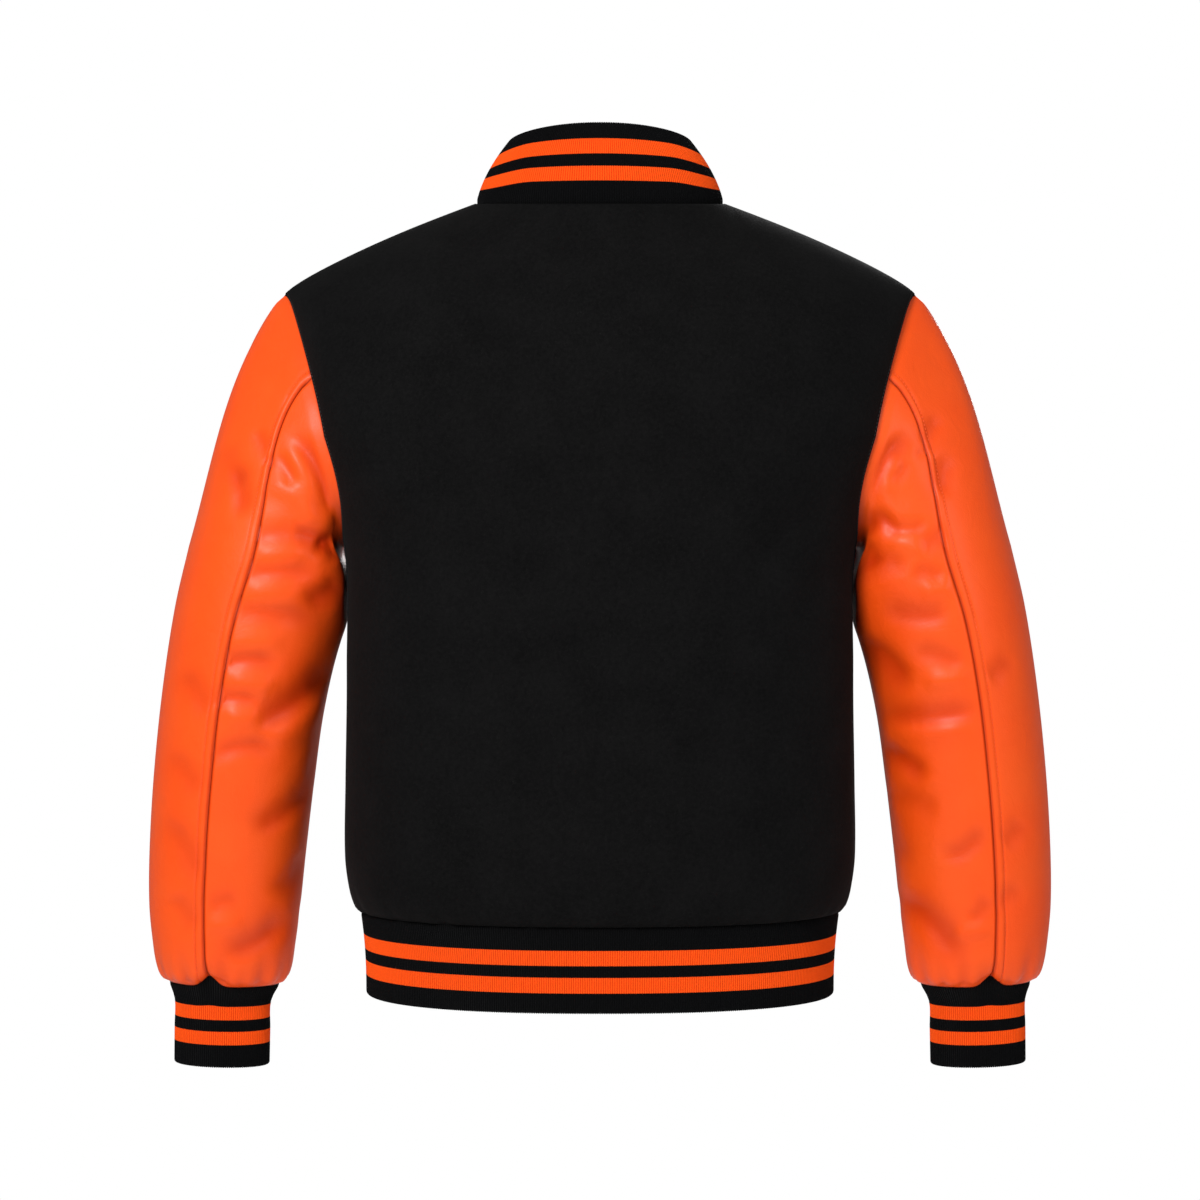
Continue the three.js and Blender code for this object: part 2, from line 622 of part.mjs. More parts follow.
function hemPoint(t, row) {
  const lapAngle = THREE.MathUtils.radToDeg(Math.atan(overlap / row.front));
  const angle = lerp(-lapAngle, 360 + lapAngle, t);
  const side = Math.cos(toRadians(angle)) > 0 ? row.front : row.back;
  const radius = sectionRadius(angle, row.halfWidth, side, bandSquareness);
  const lapInset = (ribWall + ridgeDepth + layerGap) * smoothstep(angle, 340, 351.5);
  const p = vec(radius * Math.sin(toRadians(angle)), -radius * Math.cos(toRadians(angle)), row.z);
  p.y += lapInset;
  return p;
}

const hemOut = (t, row) => {
  const step = hemPoint(t + 0.0005, row).sub(hemPoint(t - 0.0005, row));
  return vec(step.y, -step.x, 0).normalize();
};

// A cuff: a closed band from the sleeve's end down to the wrist opening.
const cuffRows = [
  { z: -719, x: 317.8, halfWidth: 39.2, halfDepth: 28.5 },
  { z: -667, x: 317, halfWidth: 39.6, halfDepth: 29 },
  { z: -651 - 2 * halfSeam, x: 315.5, halfWidth: 46, halfDepth: 38 },
];
const cuffY = -20;

function cuffWall(hand) {
  const pointAt = (t, row) => {
    const turn = 2 * Math.PI * t;
    return vec(hand * (row.x + row.halfWidth * Math.cos(turn)), cuffY + row.halfDepth * Math.sin(turn), row.z);
  };
  const outAt = (t, row) => {
    const turn = 2 * Math.PI * t;
    return vec(hand * row.halfDepth * Math.cos(turn), row.halfWidth * Math.sin(turn), 0).normalize();
  };
  return ribBand(pointAt, outAt, cuffRows, true);
}

// The collar stands on the neck edges of the two fronts and the back, and leans in towards its top.
const collarTop = { halfWidth: 75, back: 70, front: 54, backZ: 54.5, sideZ: 50, frontZ: -38 };
const collarSwell = 4; // how far the collar bulges between its base and its top
const collarEndGap = 3; // from the middle of the front to each end of the collar
const collarRows = [{ up: 0 }, { up: 0.5 }, { up: 1 }];
const collarStep = 0.004; // for finding the collar's direction along its length

// The collar's base, as the neck edge of each panel in turn: left front, back, right front.
function neckStops() {
  const top = (side, columns, lapped) => panelRow(side, yokeRise, columns, lapped);
  const mark = (side) => (p) => ({ ...p, side, away: neckAway(side, p.angle) });
  const leftFront = top("front", frontNeckColumns, false).map(mark("front"));
  const back = top("back", range(-neckColumns, neckColumns), false).map(mark("back")).reverse();
  const rightFront = top("front", frontNeckColumns.map((column) => -column), true).map(mark("front"));
  return [...leftFront, ...back.slice(1, -1), ...rightFront.reverse()];
}

function collarTopPoint(side, angle) {
  const quarter = toRadians((90 * angle) / neckAngle);
  const cosine = Math.max(0, Math.cos(quarter));
  const far = side === "back" ? collarTop.backZ : collarTop.frontZ;
  const z = lerp(collarTop.sideZ, far, cosine ** 1.6);
  return vec(collarTop.halfWidth * Math.sin(quarter), facing[side] * collarTop[side] * cosine, z);
}

function collarWall() {
  const stops = neckStops();
  const last = stops.length - 1;
  const startShare = collarEndGap / stops[1].outer.x;
  const blend = (t, key) => {
    const at = lerp(startShare, last - startShare, clamp(t, 0, 1));
    const i = Math.min(last - 1, Math.floor(at));
    return stops[i][key].clone().lerp(stops[i + 1][key], at - i);
  };
  const topAt = (t) => {
    const at = lerp(startShare, last - startShare, clamp(t, 0, 1));
    const i = Math.min(last - 1, Math.floor(at));
    const [a, b] = [stops[i], stops[i + 1]];
    const side = a.side === "back" || b.side === "back" ? "back" : "front";
    return collarTopPoint(side, lerp(a.angle, b.angle, at - i));
  };
  const baseAt = (t) => {
    const edge = blend(t, "outer").addScaledVector(blend(t, "away"), collarGap);
    return edge.addScaledVector(blend(t, "normal"), -ridgeDepth);
  };
  const pointAt = (t, { up }) => {
    const p = baseAt(t).lerp(topAt(t), up);
    return p.addScaledVector(vec(p.x, p.y, 0).normalize(), 4 * collarSwell * up * (1 - up));
  };
  const outAt = (t, { up }) => {
    const along = pointAt(t + collarStep, { up }).sub(pointAt(t - collarStep, { up }));
    const out = along.cross(topAt(t).sub(blend(t, "outer"))).normalize();
    return up === 0 ? out.add(blend(t, "normal")).normalize() : out;
  };
  return ribBand(pointAt, outAt, collarRows, false);
}

// A snap cap: a low dome with a rolled rim, its flat side down.
function snapGeometry() {
  const profile = [
    [0, 0],
    [snapRadius - 1, 0],
    [snapRadius, 0.7],
    [snapRadius - 0.3, 1.5],
    [snapRadius - 1.4, 1.7],
    [snapRadius * 0.45, snapHeight - 0.35],
    [0, snapHeight],
  ];
  return new THREE.LatheGeometry(profile.map(([r, h]) => new THREE.Vector2(r, h)), 12);
}

const wool = new THREE.MeshStandardMaterial({ color: 0x0e0e10, roughness: 0.95, metalness: 0 });
const leather = new THREE.MeshStandardMaterial({ color: 0xf8500f, roughness: 0.45, metalness: 0 });
const ribKnit = new THREE.MeshStandardMaterial({ color: 0x0c0c0e, roughness: 0.9, metalness: 0 });
const enamel = new THREE.MeshStandardMaterial({ color: 0x101012, roughness: 0.3, metalness: 0.1 });

const jacket = new THREE.Group();

function addPiece(name, geometry, material) {
  const mesh = new THREE.Mesh(geometry, material);
  mesh.name = name;
  jacket.add(mesh);
  return mesh;
}

function addBody() {
  addPiece("back", panelWall("back", backColumns, false), wool);
  addPiece("left_front", panelWall("front", leftFrontColumns, false), wool);
  addPiece("right_front", panelWall("front", rightFrontColumns, true), wool);
}

function addSleeve(name, hand) {
  const pairs = sleevePairs(hand);
  const ringSize = pairs[0].length;
  addPiece(`${name}_top_sleeve`, sleevePanel(pairs, sleeveSeams.front - ringSize, sleeveSeams.back), leather);
  addPiece(`${name}_under_sleeve`, sleevePanel(pairs, sleeveSeams.back, sleeveSeams.front), leather);
  addPiece(`${name}_cuff`, cuffWall(hand), ribKnit);
}

function addBands() {
  addPiece("collar", collarWall(), ribKnit);
  addPiece("hem_band", ribBand(hemPoint, hemOut, hemRows, false), ribKnit);
}

// Seats a snap on the left front's outer surface, or on the hem band.
function addSnap(name, at, normal, clearance) {
  const snap = addPiece(name, snapGeometry(), enamel);
  snap.position.copy(at).addScaledVector(normal, clearance);
  snap.quaternion.setFromUnitVectors(vec(0, 1, 0), normal);
}

const heightAt = (z) => solve(panelRows[0], yokeRise, (height) => bodyPoint("front", 0, height).z < z);

function addSnaps() {
  snapHeights.forEach((z, i) => {
    const height = heightAt(z);
    addSnap(`snap_${i + 1}`, bodyPoint("front", 0, height), bodyNormal("front", 0, height), snapGap);
  });
  const share = (hemSnapHeight - hemBottom) / (hemSeam - hemBottom);
  const front = lerp(hemRows[0].front, hemRows[1].front, share);
  addSnap("hem_snap", vec(0, -front, hemSnapHeight), vec(0, -1, 0), ridgeDepth + snapGap);
}

addBody();
addSleeve("left", 1);
addSleeve("right", -1);
addBands();
addSnaps();

export default jacket;
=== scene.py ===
import json
import math

import bmesh
import bpy
import numpy as np
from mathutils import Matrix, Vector

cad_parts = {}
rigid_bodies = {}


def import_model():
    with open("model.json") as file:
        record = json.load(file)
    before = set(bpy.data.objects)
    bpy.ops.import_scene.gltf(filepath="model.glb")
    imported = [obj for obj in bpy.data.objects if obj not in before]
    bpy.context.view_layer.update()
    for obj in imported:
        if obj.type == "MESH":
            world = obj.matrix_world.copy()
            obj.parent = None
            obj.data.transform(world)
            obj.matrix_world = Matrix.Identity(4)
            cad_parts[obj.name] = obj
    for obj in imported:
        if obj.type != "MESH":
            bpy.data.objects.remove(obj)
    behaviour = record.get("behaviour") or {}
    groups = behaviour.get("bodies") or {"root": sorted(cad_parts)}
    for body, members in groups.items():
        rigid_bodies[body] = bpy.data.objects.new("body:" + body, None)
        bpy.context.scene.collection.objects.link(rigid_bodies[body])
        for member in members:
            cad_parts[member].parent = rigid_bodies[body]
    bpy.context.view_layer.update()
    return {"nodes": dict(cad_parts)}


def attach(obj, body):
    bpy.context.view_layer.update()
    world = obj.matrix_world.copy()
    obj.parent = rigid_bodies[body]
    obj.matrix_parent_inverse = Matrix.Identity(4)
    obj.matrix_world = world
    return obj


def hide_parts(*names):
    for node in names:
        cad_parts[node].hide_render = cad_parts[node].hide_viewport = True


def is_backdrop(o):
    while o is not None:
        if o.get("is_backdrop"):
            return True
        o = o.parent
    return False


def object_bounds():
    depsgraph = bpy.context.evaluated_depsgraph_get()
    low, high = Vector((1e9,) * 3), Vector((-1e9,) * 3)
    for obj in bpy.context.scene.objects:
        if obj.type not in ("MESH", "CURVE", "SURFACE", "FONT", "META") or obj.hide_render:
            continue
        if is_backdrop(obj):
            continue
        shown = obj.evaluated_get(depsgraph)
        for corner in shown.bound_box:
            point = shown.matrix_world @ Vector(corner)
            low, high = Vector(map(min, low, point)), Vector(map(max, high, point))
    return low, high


for leftover in list(bpy.data.objects):
    bpy.data.objects.remove(leftover)
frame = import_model()
print("frame loaded:", len(frame["nodes"]), "solids")

# All sizes are in millimetres until a mesh is made. Fronts face -Y, the wearer's left is +X.

def table(columns, rows):
    return [dict(zip(columns.split(), row)) for row in rows]


cloth = {
    "woolWall": 2.4,
    "leatherWall": 2.0,
    "ribWall": 2.6,
    "halfSeam": 0.17,
    "layerGap": 0.6,
}

body = {
    "chestLine": -200.0,
    "yokeRise": 190.0,
    "underarm": -286.0,
    "hemSeam": -588.0,
    "neckHalfWidth": 103.0,
    "neckDepth": {"back": 75.0, "front": 62.0},
    "neckDrop": {"back": 11.0, "front": 85.0},
    "neckSlope": {"back": 62.0, "front": 50.0},
    "shoulderSlope": {"back": 14.0, "front": 34.0},
    "tipDrop": 4.0,
    "tipTilt": 36.0,
    "fanReach": 24.0,
    "shoulderTip": (264.0, -72.0),
    "shoulderBulge": 3.5,
    "crowding": 3.1,
    "armholeDepth": {"back": 74.0, "front": 76.0},
    "armholeTop": 0.55,
    "armholeTaper": 0.26,
    "overlap": 17.0,
    "overlapFade": 32.0,
    "gatherHeight": -208.0,
    "gatherAngle": 79.0,
    "neckAngle": 45.0,
}

# level cuts of the body
torsoCuts = table("z halfWidth back front square", [
    (-588.0, 198.5, 137.0, 124.0, 2.3), (-583.0, 203.5, 143.5, 130.0, 2.3),
    (-568.0, 208.0, 149.0, 135.0, 2.4), (-540.0, 211.0, 151.0, 136.5, 2.55),
    (-480.0, 210.5, 150.0, 134.5, 2.6), (-390.0, 209.5, 149.0, 134.0, 2.6),
    (-286.0, 212.0, 150.0, 137.0, 2.6), (-200.0, 237.0, 150.0, 138.0, 2.75),
])

armholeRows = [-86, -80, -69, -52, -28, 0, 25, 49, 83, 116, 145, 171, 190]
panelRows = [-388, -383, -376, -364, -346, -312, -268, -208, -146] + armholeRows

facing = {"back": 1.0, "front": -1.0}


def smooth(value, low, high):
    t = np.clip((value - low) / (high - low), 0, 1)
    return t * t * (3 - 2 * t)


def mix(a, b, t):
    return a + (b - a) * t


def unit(v):
    return v / np.maximum(np.linalg.norm(v, axis=-1, keepdims=True), 1e-9)


def stack(x, y, z):
    return np.stack(np.broadcast_arrays(x, y, z), axis=-1).astype(float)


def hermite(start, end, leave, arrive, t):
    s = 1 - t
    return start * s * s * (1 + 2 * t) + leave * t * s * s + end * t * t * (1 + 2 * s) - arrive * s * t * t


def cubic(a, b, c, d, t):
    return a * (1 - t) ** 3 + 3 * b * t * (1 - t) ** 2 + 3 * c * t * t * (1 - t) + d * t**3


def between(rows, place, column, at):
    # one column of a table, on a smooth curve through its rows
    spots = np.array([row[place] for row in rows], float)
    values = np.array([row[column] for row in rows], float)
    if spots[-1] < spots[0]:
        spots, values = spots[::-1], values[::-1]
    last = len(spots) - 1
    after, before = np.minimum(np.arange(last + 1) + 1, last), np.maximum(np.arange(last + 1) - 1, 0)
    slopes = (values[after] - values[before]) / (spots[after] - spots[before])
    i = np.clip(np.searchsorted(spots, at, side="left") - 1, 0, last - 1)
    step = spots[i + 1] - spots[i]
    t = np.clip((at - spots[i]) / step, 0, 1)
    return hermite(values[i], values[i + 1], slopes[i] * step, slopes[i + 1] * step, t)


def refine(stops, step, extra=()):
    # the stops with evenly spaced values between them, and any extra ones
    values = [np.linspace(a, b, max(1, math.ceil(abs(b - a) / step)), endpoint=False) for a,
              b in zip(stops, stops[1:])]
    return np.unique(np.round(np.concatenate([*values, [stops[-1]], list(extra)]), 5))


def sectionRadius(angle, halfWidth, depth, square):
    turn = np.radians(angle)
    across = np.abs(np.sin(turn)) / halfWidth
    along = np.abs(np.cos(turn)) / depth
    return (across**square + along**square) ** (-1 / square)


def sectionPoint(side, angle, z):
    size = {key: between(torsoCuts, "z", key, z) for key in ("halfWidth", side, "square")}
    radius = sectionRadius(angle, size["halfWidth"], size[side], size["square"])
    turn = np.radians(angle)
    return stack(radius * np.sin(turn), facing[side] * radius * np.cos(turn), z)


def alongShoulder(turned):
    left = np.clip((90 - turned) / (90 - body["neckAngle"]), 0, 1)
    return 1 - left ** body["crowding"]


def topEdge(side, angle):
    turned = np.abs(angle)
    hand = np.where(angle < 0, -1.0, 1.0)
    tipX, tipZ = body["shoulderTip"]
    quarter = np.radians(90 * np.minimum(turned, body["neckAngle"]) / body["neckAngle"])
    cosine = np.maximum(np.cos(quarter), 0)
    drop = body["neckDrop"][side] * cosine ** (1.3 if side == "front" else 1.0)
    neck = stack(hand * body["neckHalfWidth"] * np.sin(quarter),
                 facing[side] * body["neckDepth"][side] * cosine, -drop)
    out = alongShoulder(turned)
    lift = body["shoulderBulge"] * np.sin(np.pi * out) - body["tipDrop"] * out**12
    shoulder = stack(hand * mix(body["neckHalfWidth"], tipX, out), 0, tipZ * out + lift)
    return np.where((turned <= body["neckAngle"])[..., None], neck, shoulder)


def yokePoint(side, angle, rise):
    turned = np.abs(angle)
    tipX, tipZ = body["shoulderTip"]
    foot = sectionPoint(side, angle, np.full(np.shape(angle), body["chestLine"]))
    top = topEdge(side, angle)
    quarter = np.radians(90 * np.minimum(1, turned / body["neckAngle"]))
    middle = np.cos(quarter)
    inside = 1 - alongShoulder(turned)
    slope = np.radians(mix(body["shoulderSlope"][side] * inside, body["neckSlope"][side], middle))
    depth = np.abs(foot[..., 1] - top[..., 1])
    reach = mix(0.56 * depth, 0.33 * np.linalg.norm(foot - top, axis=-1), middle)
    lift = mix(0.5, 0.34, middle) * (top[..., 2] - foot[..., 2])
    fan = body["fanReach"] * np.sin(quarter) * inside**2
    fall = reach * np.sin(slope) + fan * -tipZ / (tipX - body["neckHalfWidth"])
    footX, topX = foot[..., 0], top[..., 0]
    x = cubic(footX, mix(footX, topX, 0.36), mix(footX, topX, 0.7) + fan * np.sign(angle), topX, rise)
    y = cubic(foot[..., 1], foot[..., 1], top[..., 1] + facing[side] * reach * np.cos(slope), top[..., 1],
              rise)
    z = cubic(foot[..., 2], foot[..., 2] + lift, top[..., 2] - fall, top[..., 2], rise)
    return stack(x, y, z)


def bodyPoint(side, angle, height):
    angle, height = np.broadcast_arrays(np.asarray(angle, float), np.asarray(height, float))
    low = sectionPoint(side, angle, body["chestLine"] + np.minimum(height, 0))
    high = yokePoint(side, angle, np.maximum(height, 0) / body["yokeRise"])
    return np.where((height <= 0)[..., None], low, high)


def shoulderLine(hand):
    tipX, tipZ = body["shoulderTip"]
    return unit(stack(hand * (tipX - body["neckHalfWidth"]), 0, tipZ))


def bodyNormal(side, angle, height):
    angle, height = np.broadcast_arrays(np.asarray(angle, float), np.asarray(height, float))
    step = 0.4
    low = np.minimum(height, body["yokeRise"] - step)
    hand = np.where(angle < 0, -1.0, 1.0)
    onShoulder = (height >= body["yokeRise"]) & (np.abs(angle) >= body["neckAngle"] - 1e-6)
    seamAcross = shoulderLine(hand) * hand[..., None]
    across = bodyPoint(side, angle + step, height) - bodyPoint(side, angle - step, height)
    across = np.where(onShoulder[..., None], seamAcross, across)
    up = bodyPoint(side, angle, low + step) - bodyPoint(side, angle, low - step)
    normal = unit(np.cross(across, up) * -facing[side])
    tilt = math.radians(body["tipTilt"])
    tip = stack(hand * math.sin(tilt), 0, math.cos(tilt))
    atTip = onShoulder & (np.abs(angle) >= 90 - 1e-6)
    return np.where(atTip[..., None], tip, normal)


def neckAway(side, angle):
    step = 0.4
    along = bodyPoint(side, angle + step, body["yokeRise"]) - bodyPoint(side, angle - step, body["yokeRise"])
    away = unit(np.cross(bodyNormal(side, angle, body["yokeRise"]), along) * -facing[side])
    hand = np.where(np.asarray(angle) < 0, -1.0, 1.0)
    return np.where((np.abs(angle) >= body["neckAngle"] - 1e-6)[..., None], -shoulderLine(hand), away)


def armholeReach(side, z, straight):
    top = body["shoulderTip"][1] - body["tipDrop"]
    up = np.clip((z - body["underarm"]) / (top - body["underarm"]), 0, 1)
    left = np.minimum(1, (1 - up) / body["armholeTop"])
    straighter = left ** (body["armholeTaper"] * (1 - left)) if straight and side == "back" else 1
    return body["armholeDepth"][side] * 2 * np.sqrt(up * (1 - up)) * (1.25 - 0.5 * up) * straighter


def solve(low, high, holds):
    # the last place between low and high where holds is still true
    for _ in range(40):
        middle = (low + high) / 2
        stay = holds(middle)
        low, high = np.where(stay, middle, low), np.where(stay, high, middle)
    return low


def edgeAngle(side, height, straight=True):
    # where a row of a panel ends: the side seam, or the armhole above it
    height = np.asarray(height, float)

    def outside(angle):
        p = bodyPoint(side, angle, height)
        return np.abs(p[..., 1]) > armholeReach(side, p[..., 2], straight)

    edge = solve(np.full(height.shape, body["neckAngle"]), np.full(height.shape, 90.0), outside)
    return np.where((height <= armholeRows[0]) | (height >= body["yokeRise"]), 90.0, edge)


def armholePoint(hand, s, straight=True):
    # the armhole as a ring: 0 at the shoulder tip, 12 under the arm, 24 at the tip again
    s = np.mod(np.asarray(s, float), 24)
    index = np.abs(s - 12)
    height = np.interp(index, np.arange(13), armholeRows)
    result, normal = {}, {}
    for side in ("back", "front"):
        angle = hand * edgeAngle(side, height, straight)
        result[side], normal[side] = bodyPoint(side, angle, height), bodyNormal(side, angle, height)
    atBack = (s <= 12)[..., None]
    return np.where(atBack, result["back"], result["front"]), np.where(atBack, normal["back"],
        normal["front"])


def armholeFrame(hand, s, straight=True):
    point, _ = armholePoint(hand, s, straight)
    near = [armholePoint(hand, s + shift, straight)[1] for shift in (-0.5, -0.25, 0, 0.25, 0.5)]
    normal = unit(sum(near))
    along = armholePoint(hand, s + 0.08, straight)[0] - armholePoint(hand, s - 0.08, straight)[0]
    away = unit(np.cross(along, normal) * hand)
    return point, normal, away


# A closed wall of cloth between an outer and an inner grid of points.
def clothMesh(name, outer, inner, values):
    rows, columns = outer.shape[:2]
    points = np.concatenate([outer.reshape(-1, 3), inner.reshape(-1, 3)]) / 1000
    number = np.arange(rows * columns).reshape(rows, columns)
    inside = number + rows * columns

    def quads(a, b, c, d):
        return np.stack([a.ravel(), b.ravel(), c.ravel(), d.ravel()], axis=1)

    faces = [
        quads(number[:-1, :-1], number[:-1, 1:], number[1:, 1:], number[1:, :-1]),
        quads(inside[:-1, :-1], inside[1:, :-1], inside[1:, 1:], inside[:-1, 1:]),
        quads(number[0, 1:], number[0, :-1], inside[0, :-1], inside[0, 1:]),
        quads(number[-1, :-1], number[-1, 1:], inside[-1, 1:], inside[-1, :-1]),
        quads(number[:-1, 0], number[1:, 0], inside[1:, 0], inside[:-1, 0]),
        quads(number[1:, -1], number[:-1, -1], inside[:-1, -1], inside[1:, -1]),
    ]
    values = {key: np.tile(value.ravel(), 2) for key, value in values.items()}
    return makeObject(name, points, np.concatenate(faces), values)


def makeObject(name, points, faces, values=None, edges=()):
    faces = np.asarray(faces)
    if len(faces):
        a, b, c = (points[faces[:, k]] for k in range(3))
        volume = np.einsum("ij,ij->i", a, np.cross(b, c)).sum()
        if faces.shape[1] == 4:
            d = points[faces[:, 3]]
            volume += np.einsum("ij,ij->i", a, np.cross(c, d)).sum()
        if volume < 0:
            faces = faces[:, ::-1]
    mesh = bpy.data.meshes.new(name)
    mesh.from_pydata(points.tolist(), list(edges), faces.tolist())
    for key, value in (values or {}).items():
        vector = value.ndim == 2
        made = mesh.attributes.new(key, "FLOAT_VECTOR" if vector else "FLOAT", "POINT")
        made.data.foreach_set("vector" if vector else "value", value.astype(np.float32).ravel())
    mesh.update()
    obj = bpy.data.objects.new(name, mesh)
    bpy.context.scene.collection.objects.link(obj)
    return obj


def finishMesh(obj, material, sharp=50):
    for face in obj.data.polygons:
        face.use_smooth = True
    obj.data.set_sharp_from_angle(angle=math.radians(sharp))
    obj.data.materials.clear()
    obj.data.materials.append(material)
    return obj


def ringNormals(grid):
    across = np.roll(grid, -1, axis=1) - np.roll(grid, 1, axis=1)
    return unit(np.cross(across, np.gradient(grid, axis=0)))


def runLength(grid, axis):
    steps = np.linalg.norm(np.diff(grid, axis=axis), axis=-1)
    pad = [(1, 0) if k == axis else (0, 0) for k in range(2)]
    return np.cumsum(np.pad(steps, pad), axis=axis)


# Materials

def feed(tree, socket, value):
    if isinstance(value, bpy.types.NodeSocket):
        tree.links.new(value, socket)
    elif value is not None:
        socket.default_value = value


def newGroup(name, inputs, outputs):
    # a shader group: an input without a starting value is a vector, the others are numbers
    tree = bpy.data.node_groups.new(name, "ShaderNodeTree")
    for label, value in inputs.items():
        kind = "NodeSocketVector" if value is None else "NodeSocketFloat"
        feed(tree, tree.interface.new_socket(label, in_out="INPUT", socket_type=kind), value)
    for label in outputs:
        tree.interface.new_socket(label, in_out="OUTPUT", socket_type="NodeSocketFloat")
    return tree, tree.nodes.new("NodeGroupInput").outputs, tree.nodes.new("NodeGroupOutput").inputs


def addNode(tree, kind, inputs, **settings):
    node = tree.nodes.new(kind)
    for key, value in settings.items():
        setattr(node, key, value)
    for key, value in inputs.items():
        feed(tree, node.inputs[key], value)
    return node


def addMath(tree, operation, *values, clampIt=False):
    return addNode(tree, "ShaderNodeMath", dict(enumerate(values)), operation=operation,
                   use_clamp=clampIt).outputs[0]


def mixColor(tree, share, first, second):
    return addNode(tree, "ShaderNodeMix", {0: share, 6: first, 7: second}, data_type="RGBA").outputs[2]


def noise(tree, place, scale, detail, roughness=0.5, distortion=0.0):
    inputs = {"Vector": place, "Scale": scale, "Detail": detail, "Roughness": roughness,
              "Distortion": distortion}
    return addNode(tree, "ShaderNodeTexNoise", inputs).outputs["Fac"]


def napGroup():
    # felted wool: matted fibres and a cloudy surface
    inputs = {"Vector": None, "Fibre Size": 1.0, "Clouding": 0.5}
    tree, start, end = newGroup("woolNap", inputs, ["Height", "Lint", "Cloud"])
    place = start["Vector"]
    scaled = addNode(tree, "ShaderNodeVectorMath", {0: place, "Scale": start["Fibre Size"]},
                     operation="SCALE")
    fibres = noise(tree, scaled.outputs[0], 1400.0, 3.0, distortion=2.2)
    felt = noise(tree, scaled.outputs[0], 330.0, 4.0, 0.62)
    flecks = noise(tree, place, 900.0, 1.0, distortion=3.0)
    height = addMath(tree, "MULTIPLY_ADD", felt, 0.65, addMath(tree, "MULTIPLY", fibres, 0.35))
    lint = addMath(tree, "MULTIPLY", addMath(tree, "SUBTRACT", flecks, 0.62), 5.0, clampIt=True)
    feed(tree, end["Height"], height)
    feed(tree, end["Lint"], lint)
    feed(tree, end["Cloud"], addMath(tree, "MULTIPLY", noise(tree, place, 26.0, 3.0), start["Clouding"]))
    return tree


def grainGroup():
    # fine leather: small rounded cells parted by thin valleys, with pores
    inputs = {"Vector": None, "Cells": 900.0, "Unevenness": 0.3}
    tree, start, end = newGroup("leatherGrain", inputs, ["Height", "Tone", "Wrinkle"])
    place, push = start["Vector"], (0.004, 0.004, 0.004)
    bend = addNode(tree, "ShaderNodeTexNoise", {"Vector": place, "Scale": 120.0, "Detail": 2.0})
    pushed = addNode(tree, "ShaderNodeVectorMath", {0: bend.outputs["Color"], 1: push, 2: place},
                     operation="MULTIPLY_ADD").outputs[0]
    cells = addNode(tree, "ShaderNodeTexVoronoi",
                    {"Vector": pushed, "Scale": start["Cells"], "Randomness": 0.9},
                    feature="DISTANCE_TO_EDGE")
    wide = addNode(tree, "ShaderNodeTexVoronoi", {"Vector": pushed, "Scale": 260.0}, feature="SMOOTH_F1")
    valley = addMath(tree, "MULTIPLY", cells.outputs["Distance"], 4.0, clampIt=True)
    height = addMath(tree, "MULTIPLY_ADD", wide.outputs["Distance"], start["Unevenness"], valley)
    feed(tree, end["Height"], height)
    feed(tree, end["Tone"], noise(tree, place, 15.0, 4.0, 0.55))
    feed(tree, end["Wrinkle"], noise(tree, place, 46.0, 5.0, 0.6, 0.8))
    return tree


def loopGroup():
    # rib knit: a column of V-shaped loops on each rib
    inputs = {"Along": 0.0, "Up": 0.0, "Rib Pitch": 0.0018, "Loop Height": 0.0013}
    tree, start, end = newGroup("knitLoops", inputs, ["Height", "Valley"])
    share = addMath(tree, "FRACT", addMath(tree, "DIVIDE", start["Along"], start["Rib Pitch"]))
    fromMiddle = addMath(tree, "ABSOLUTE", addMath(tree, "SUBTRACT", share, 0.5))
    climb = addMath(tree, "DIVIDE", start["Up"], start["Loop Height"])
    turns = addMath(tree, "MULTIPLY", addMath(tree, "MULTIPLY_ADD", fromMiddle, 1.6, climb), 2 * math.pi)
    wave = addMath(tree, "MULTIPLY_ADD", addMath(tree, "SINE", turns), 0.5, 0.5)
    valley = addMath(tree, "POWER", addMath(tree, "MULTIPLY", fromMiddle, 2.0), 4.0)
    feed(tree, end["Height"], addMath(tree, "MULTIPLY", wave, addMath(tree, "SUBTRACT", 1.0, valley)))
    feed(tree, end["Valley"], valley)
    return tree


def seamGroup():
    # shade and handling marks that gather along the seams
    inputs = {"Distance": 0.01, "Width": 0.002, "Strength": 0.5}
    tree, start, end = newGroup("seamShade", inputs, ["Mask"])
    near = addMath(tree, "DIVIDE", start["Distance"], start["Width"])
    fall = addMath(tree, "SUBTRACT", 1.0, near, clampIt=True)
    feed(tree, end["Mask"], addMath(tree, "MULTIPLY", fall, start["Strength"]))
    return tree


groups = {"nap": napGroup(), "grain": grainGroup(), "loops": loopGroup(), "seam": seamGroup()}


def newMaterial(name):
    material = bpy.data.materials.new(name)
    material.use_nodes = True
    tree = material.node_tree
    tree.nodes.clear()
    shader = tree.nodes.new("ShaderNodeBsdfPrincipled")
    output = tree.nodes.new("ShaderNodeOutputMaterial")
    tree.links.new(shader.outputs[0], output.inputs[0])
    return material, tree, shader, tree.nodes.new("ShaderNodeTexCoord").outputs["Object"]


def useGroup(tree, key, **inputs):
    node = tree.nodes.new("ShaderNodeGroup")
    node.node_tree = groups[key]
    for label, value in inputs.items():
        feed(tree, node.inputs[label.replace("_", " ")], value)
    return node.outputs


def readValue(tree, name):
    node = tree.nodes.new("ShaderNodeAttribute")
    node.attribute_name = name
    return node.outputs["Fac"]


def seamMask(tree, width, strength):
    return useGroup(tree, "seam", Distance=readValue(tree, "seam"), Width=width, Strength=strength)["Mask"]


